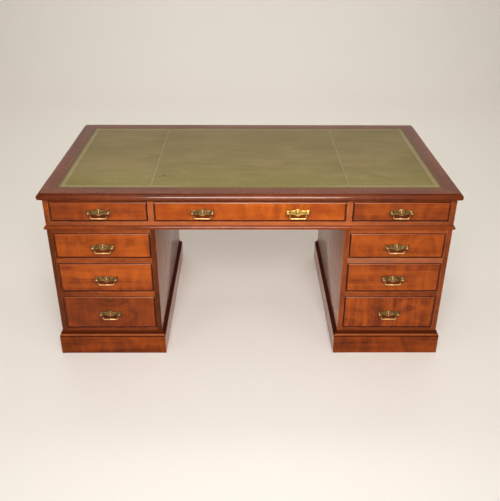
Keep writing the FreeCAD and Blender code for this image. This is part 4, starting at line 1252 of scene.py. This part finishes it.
def make_plate():
    plate = outline_piece("back_plate", [(x, 0, z) for x, z in PLATE_OUTLINE])
    open_mesh(plate)
    extrude(y=-PLATE)
    face_outwards()
    pick_faces(plate, lambda normal: normal.y < -FACING)
    inset(PLATE_RIM)
    shift(-PLATE_RIM_RISE)
    inset(PLATE_SLOPE)
    shift(PLATE_SLOPE_FALL)
    close_mesh()
    smooth(plate)

    ring_angles = [2 * math.pi * step / RING_STEPS for step in range(RING_STEPS)]
    ring = turned("plate_ring", [(RING_RADIUS + RING_ROUND * math.cos(a), PLATE + RING_ROUND * math.sin(a))
                                 for a in ring_angles])
    ring.data.transform(UPRIGHT @ RING_OVAL)
    hollow = turned("plate_hollow", [(0, RING_SEAT), (HOLLOW_RADIUS, RING_SEAT), (HOLLOW_RADIUS, PLATE + 0.6),
                                     (0, PLATE + 0.2)])
    hollow.data.transform(UPRIGHT @ RING_OVAL)
    button = turned("plate_button", trace((0, RING_SEAT), [
        (BUTTON_RADIUS, RING_SEAT), (BUTTON_RADIUS, PLATE), (0, PLATE + BUTTON_RISE, 3.6, 1),
    ]))
    button.data.transform(UPRIGHT @ BUTTON_OVAL)

    post = turned("handle_post", POST_PROFILE, POST_STEPS)
    post.data.transform(move(x=POST_X) @ UPRIGHT)
    nut = block("post_nut", (POST_X - NUT_HALF, FRONT, -NUT_HALF),
                (POST_X + NUT_HALF, FRONT + NUT_HEIGHT, NUT_HALF))
    ease(nut, NUT_EASE)
    pairs = [part for one in (post, nut) for part in (one, copy_of(one, one.name, move(x=-2 * POST_X)))]

    def plate_grime(point):
        return PLATE_GRIME if point.y > HAIR - PLATE else (abs(point.x) - PLATE_CLEAN_X) / PLATE_FADE

    mark_points(plate, "dirt_and_shade", plate_grime)
    mark_points(hollow, "dirt_and_shade", lambda point: HOLLOW_GRIME)
    mark_points(ring, "rub", lambda point: (-point.y - PLATE) / RING_RUB)
    mark_points(button, "rub", lambda point: (-point.y - PLATE) / BUTTON_RISE)
    for part in pairs:
        mark_points(part, "rub", lambda point: (-point.y - POST_RUB_FOOT) / POST_RUB)
    return {"back_plate": [plate], "plate_hollow": [hollow], "plate_knobs": [ring, button] + pairs}


# Half of the bail from its pin to its middle: X, Z and radius.
BAIL_PATH = (
    (39.2, 0, 1.6), (36.8, 0, 1.7), (34.0, 0.4, 2.1), (33.2, -3.2, 2.3),
    (32.6, -9, 2.1), (32.4, -15, 2.1), (31.0, -21.6, 2.4), (24, -23.2, 2.6),
    (14, -22.8, 2.8), (9, -22.6, 2.8), (4.5, -22.6, 3.4), (0, -22.6, 4.0),
)
BAIL_RUB_TOP = 10
BAIL_RUB = 11


def make_bail():
    """A bent bar that swells at its middle, drawn as a curve and made a mesh."""
    deselect()
    bpy.ops.curve.primitive_nurbs_path_add()
    path = bpy.context.object
    path.name = "bail"
    curve = path.data
    curve.splines.clear()
    points = [*BAIL_PATH, *[(-x, z, radius) for x, z, radius in BAIL_PATH[-2::-1]]]
    spline = curve.splines.new("NURBS")
    spline.points.add(len(points) - 1)
    for point, (x, z, radius) in zip(spline.points, points):
        point.co = (x * MM, -POST_REACH * MM, z * MM, 1)
        point.radius = radius
    spline.order_u = 4
    spline.use_endpoint_u = True
    spline.resolution_u = 6
    curve.dimensions = "3D"
    curve.bevel_depth = MM
    curve.bevel_resolution = 4
    curve.use_fill_caps = True
    bpy.ops.object.convert(target="MESH")
    made = bpy.context.object
    open_mesh(made)
    face_outwards()
    close_mesh()
    mark_points(made, "rub", lambda point: (-point.z - BAIL_RUB_TOP) / BAIL_RUB)
    return smooth(made, 50)


plate_patterns = {name: join(name, parts) for name, parts in make_plate().items()}
bail_pattern = make_bail()

ESCUTCHEON_DROP = 24
KEYHOLE = 1.9
KEY_STEPS = 24
KEY_OVAL = Matrix.Diagonal((1.35, 1.9, 1.0, 1))
ESCUTCHEON_FINISH = {"left_drawer_bottom": "dark_brass", "right_drawer_bottom": "worn_brass"}
LOCK_HALF_X = 30
LOCK_HALF_Z = 17
LOCK_DEPTH = 10
LOCK_EASE = 0.8
ESCUTCHEON_PROFILE = [(1.7, 0), (4.2, 0), (4.2, 0.5), (3.8, 0.8), (2.1, 0.8), (1.7, 0.4)]
escutcheon = turned("escutcheon", ESCUTCHEON_PROFILE, KEY_STEPS)
keyhole = turned("keyhole", [(0, 0.1), (KEYHOLE, 0.1), (KEYHOLE, 0.3), (0, 0.3)], KEY_STEPS)
for part in (escutcheon, keyhole):
    part.data.transform(UPRIGHT @ KEY_OVAL)
lock_case = ease(block("lock_case", (-LOCK_HALF_X, FRONT, -LOCK_HALF_Z),
                       (LOCK_HALF_X, FRONT + LOCK_DEPTH, LOCK_HALF_Z)), LOCK_EASE)

DRAWERS = (
    ("frieze_drawer_left", "side_frieze", -SIDE_BAY_X, False, "russet_front"),
    ("frieze_drawer_centre", "centre_frieze", 0, False, "bright_front"),
    ("frieze_drawer_right", "side_frieze", SIDE_BAY_X, False, "russet_front"),
    ("left_drawer_top", "upper", -PEDESTAL_X, False, "orange_front"),
    ("left_drawer_middle", "middle", -PEDESTAL_X, False, "brown_front"),
    ("left_drawer_bottom", "lower", -PEDESTAL_X, False, "dark_front"),
    ("right_drawer_top", "upper", PEDESTAL_X, False, "orange_front"),
    ("right_drawer_middle", "middle", PEDESTAL_X, False, "brown_front"),
    ("right_drawer_bottom", "lower", PEDESTAL_X, False, "flame_front"),
    ("rear_drawer_left", "side_frieze", -SIDE_BAY_X, True, "orange_front"),
    ("rear_drawer_centre", "centre_frieze", 0, True, "bright_front"),
    ("rear_drawer_right", "side_frieze", SIDE_BAY_X, True, "brown_front"),
)
DRAWER_FINISH = {"lining": "lining_wood", "bead": "bead_wood"}
POLISHED_HANDLE = "frieze_drawer_centre_right_bail"

for name, pattern, x, rear, front_finish in DRAWERS:
    facing = turn(180) if rear else Matrix()
    face = CASE_Y if rear else -CASE_Y
    _, foot, head, _, _, handle_drop, handles = PATTERNS[pattern]
    for part, source in drawer_patterns[pattern].items():
        made = copy_of(source, f"{name}_{part}", move(x, face, foot) @ facing)
        if part == "bead":
            fade_highlight(made)
        # Painted shade on the fronts, deeper towards the ends of the desk.
        if part == "front":
            mark_points(made, "dirt_and_shade", lambda point: FRONT_END_SHADE * end_share(point))
        dress(made, name, "mahogany", DRAWER_FINISH.get(part, front_finish), name)
    bail_names = [f"{name}_bail"] if len(handles) == 1 else [f"{name}_left_bail", f"{name}_right_bail"]
    for bail_name, offset in zip(bail_names, handles):
        place = move(x + offset, face, (foot + head) / 2 - handle_drop) @ facing
        label = bail_name.replace("_bail", "")
        finish = "rubbed_brass" if bail_name == POLISHED_HANDLE else "old_brass"
        for part, source in plate_patterns.items():
            dress(copy_of(source, f"{label}_{part}", place), name, "brass", finish, f"{name}_plate")
        dress(copy_of(bail_pattern, f"{label}_swing_bail", place), bail_name, "brass", finish, bail_name)
    if name in ESCUTCHEON_FINISH:
        place = move(x, face, head - ESCUTCHEON_DROP) @ facing
        parts = [copy_of(part, "lock_part", place) for part in (escutcheon, lock_case)]
        dress(join(f"{name}_lock", parts), name, "brass", ESCUTCHEON_FINISH[name])
        dress(copy_of(keyhole, f"{name}_keyhole", place), name, "brass", "dark_brass")

for parts in drawer_patterns.values():
    discard(parts.values())
discard([*plate_patterns.values(), bail_pattern, escutcheon, keyhole, lock_case])

# Rear cupboard doors: stiles, rails, a moulding round the opening and a fielded panel.
DOOR_FREE = 407.2
DOOR_EDGE = 795.4
DOOR_FOOT = 129.2
DOOR_HEAD = 590.8
DOOR_BACK = 410
STILE = 56
FOOT_RAIL = 72
PANEL_GROOVE = 8
PANEL_BACK = 416
PANEL_FACE = 421
PANEL_REVEAL = 1
PANEL_BEVEL = 25
PANEL_FIELD = 4
PANEL_STEP = 1
STICKING_SECTION = trace((0, 0), [(5, 0), (5, 1), (0, 6, 5, 1)])

for side, label in ((-1, "left"), (1, "right")):
    door = f"{label}_door"
    parts = []
    for near, far in ((DOOR_FREE, DOOR_FREE + STILE), (DOOR_EDGE - STILE, DOOR_EDGE)):
        x_low, x_high = sided(side, near, far)
        parts.append(board("door_stile", (x_low, DOOR_BACK, DOOR_FOOT), (x_high, CASE_Y, DOOR_HEAD), "Z"))
    x_low, x_high = sided(side, DOOR_FREE + STILE, DOOR_EDGE - STILE)
    z_low, z_high = DOOR_FOOT + FOOT_RAIL, DOOR_HEAD - STILE
    for foot, head in ((DOOR_FOOT, z_low), (z_high, DOOR_HEAD)):
        parts.append(board("door_rail", (x_low, DOOR_BACK, foot), (x_high, CASE_Y, head)))
    dress(join(f"{door}_frame", parts), door, "mahogany", "rail_wood", door)

    panel = block(f"{door}_panel", (x_low - PANEL_GROOVE, PANEL_BACK, z_low - PANEL_GROOVE),
                  (x_high + PANEL_GROOVE, PANEL_FACE, z_high + PANEL_GROOVE))
    open_mesh(panel)
    pick_faces(panel, lambda normal: normal.y > FACING)
    inset(PANEL_GROOVE + PANEL_REVEAL)
    inset(PANEL_BEVEL)
    shift(PANEL_FIELD)
    extrude(y=PANEL_STEP)
    close_mesh()
    mark_grain(panel, "Z", worn=False)
    dress(panel, door, "mahogany", "panel_wood", door)

    sticking = mitred_frame(f"{door}_sticking", STICKING_SECTION, (x_high - x_low) / 2, (z_high - z_low) / 2)
    sticking.data.transform(move((x_low + x_high) / 2, PANEL_FACE, (z_low + z_high) / 2) @ turn(-90, "X"))
    dress(sticking, door, "mahogany", "bead_wood", door)

# CAD pieces that stay as they are, with a finish of their own.
CAD_FINISHES = {
    "pine_x": ("top_panel", "cupboard_shelves", "locating_dowels", "left_pedestal_boards",
               "right_pedestal_boards"),
    "pine_y": ("drawer_runners",),
    "old_brass": ("door_hinge_leaves", "left_door_brass", "right_door_brass"),
}
for finish, nodes in CAD_FINISHES.items():
    for node in nodes:
        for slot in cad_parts[node].material_slots:
            slot.material = FINISHES[finish]

# Studio: a pale seamless floor and backdrop, soft light and the photo's camera. Here sizes are in metres.
FLOOR_FRONT = -6.0
FLOOR_BACK = 3.6
FLOOR_HALF = 8.0
SWEEP = 1.5
WALL = 5.0
corners = [(-FLOOR_HALF, FLOOR_FRONT), (FLOOR_HALF, FLOOR_FRONT),
           (FLOOR_HALF, FLOOR_BACK), (-FLOOR_HALF, FLOOR_BACK)]
backdrop = outline_piece("backdrop", [(x / MM, y / MM, 0) for x, y in corners])
open_mesh(backdrop)
pick_points(backdrop, lambda point: point.y > FLOOR_BACK - HAIR * MM)
bpy.ops.mesh.select_mode(type="EDGE")
bpy.ops.mesh.spin(steps=24, angle=-math.pi / 2, center=(0, FLOOR_BACK, SWEEP), axis=(1, 0, 0))
extrude(z=WALL / MM)
close_mesh()
smooth(backdrop, 60)
paper, mix, shader = new_material("studio_paper")
paper_cloud = mix.noise(mix.place(), 0.8, 3.0)
mix.feed(shader.inputs["Base Color"], mix.blend(paper_cloud, screen(244, 239, 232), screen(248, 243, 237)))
shader.inputs["Roughness"].default_value = 0.7
shader.inputs["Specular IOR Level"].default_value = 0.2
backdrop.data.materials.append(paper)

SKY_LIGHT = (0.28, 0.252, 0.21, 1)
SKY_SEEN = screen(214, 206, 196)
world = bpy.data.worlds.new("studio")
world.use_nodes = True
mix = FinishMix(world.node_tree)
rays = mix.node("LightPath").outputs
seen = mix.most(rays["Is Camera Ray"], mix.most(rays["Is Glossy Ray"], rays["Is Transmission Ray"]))
sky = world.node_tree.nodes["Background"].inputs
mix.put(sky, Color=mix.blend(seen, SKY_LIGHT, SKY_SEEN), Strength=1)
bpy.context.scene.world = world


def soft_lamp(name, place, target, width, depth, watts, spread=180):
    """A large rectangular lamp that points at a target, with the angle that its light spreads over."""
    lamp = bpy.data.lights.new(name, "AREA")
    lamp.shape = "RECTANGLE"
    lamp.size = width
    lamp.size_y = depth
    lamp.energy = watts
    lamp.spread = math.radians(spread)
    holder = bpy.data.objects.new(name, lamp)
    bpy.context.collection.objects.link(holder)
    holder.location = place
    holder.rotation_euler = (Vector(target) - Vector(place)).to_track_quat("-Z", "Y").to_euler()


soft_lamp("key_lamp", (0, -3.2, 2.8), (0, 0.0, 0.55), 1.8, 1.4, 36.2, 90)
soft_lamp("left_lamp", (-2.8, -3.0, 2.0), (-0.4, 0, 0.3), 1.4, 1.4, 14)
soft_lamp("right_lamp", (2.8, -3.0, 2.0), (0.4, 0, 0.3), 1.4, 1.4, 14)
soft_lamp("back_lamp", (0, 2.4, 4.4), (0, 3.2, 0.2), 6.0, 1.6, 79)

CAMERA_PLACE = (-0.0222, -2.7661, 1.7833)
CAMERA_YAW = 0.0094
CAMERA_PITCH = -0.4979
CAMERA_ROLL = 0.0046
camera_data = bpy.data.cameras.new("camera")
camera_data.sensor_fit = "HORIZONTAL"
camera_data.sensor_width = 36
camera_data.lens = 46.62
camera = bpy.data.objects.new("camera", camera_data)
bpy.context.collection.objects.link(camera)
aim = (Matrix.Rotation(-CAMERA_YAW, 4, "Z") @ Matrix.Rotation(math.pi / 2 + CAMERA_PITCH, 4, "X")
       @ Matrix.Rotation(CAMERA_ROLL, 4, "Z"))
camera.matrix_world = Matrix.Translation(CAMERA_PLACE) @ aim
bpy.context.scene.camera = camera

bpy.context.scene.view_settings.view_transform = "Standard"

bpy.context.view_layer.update()
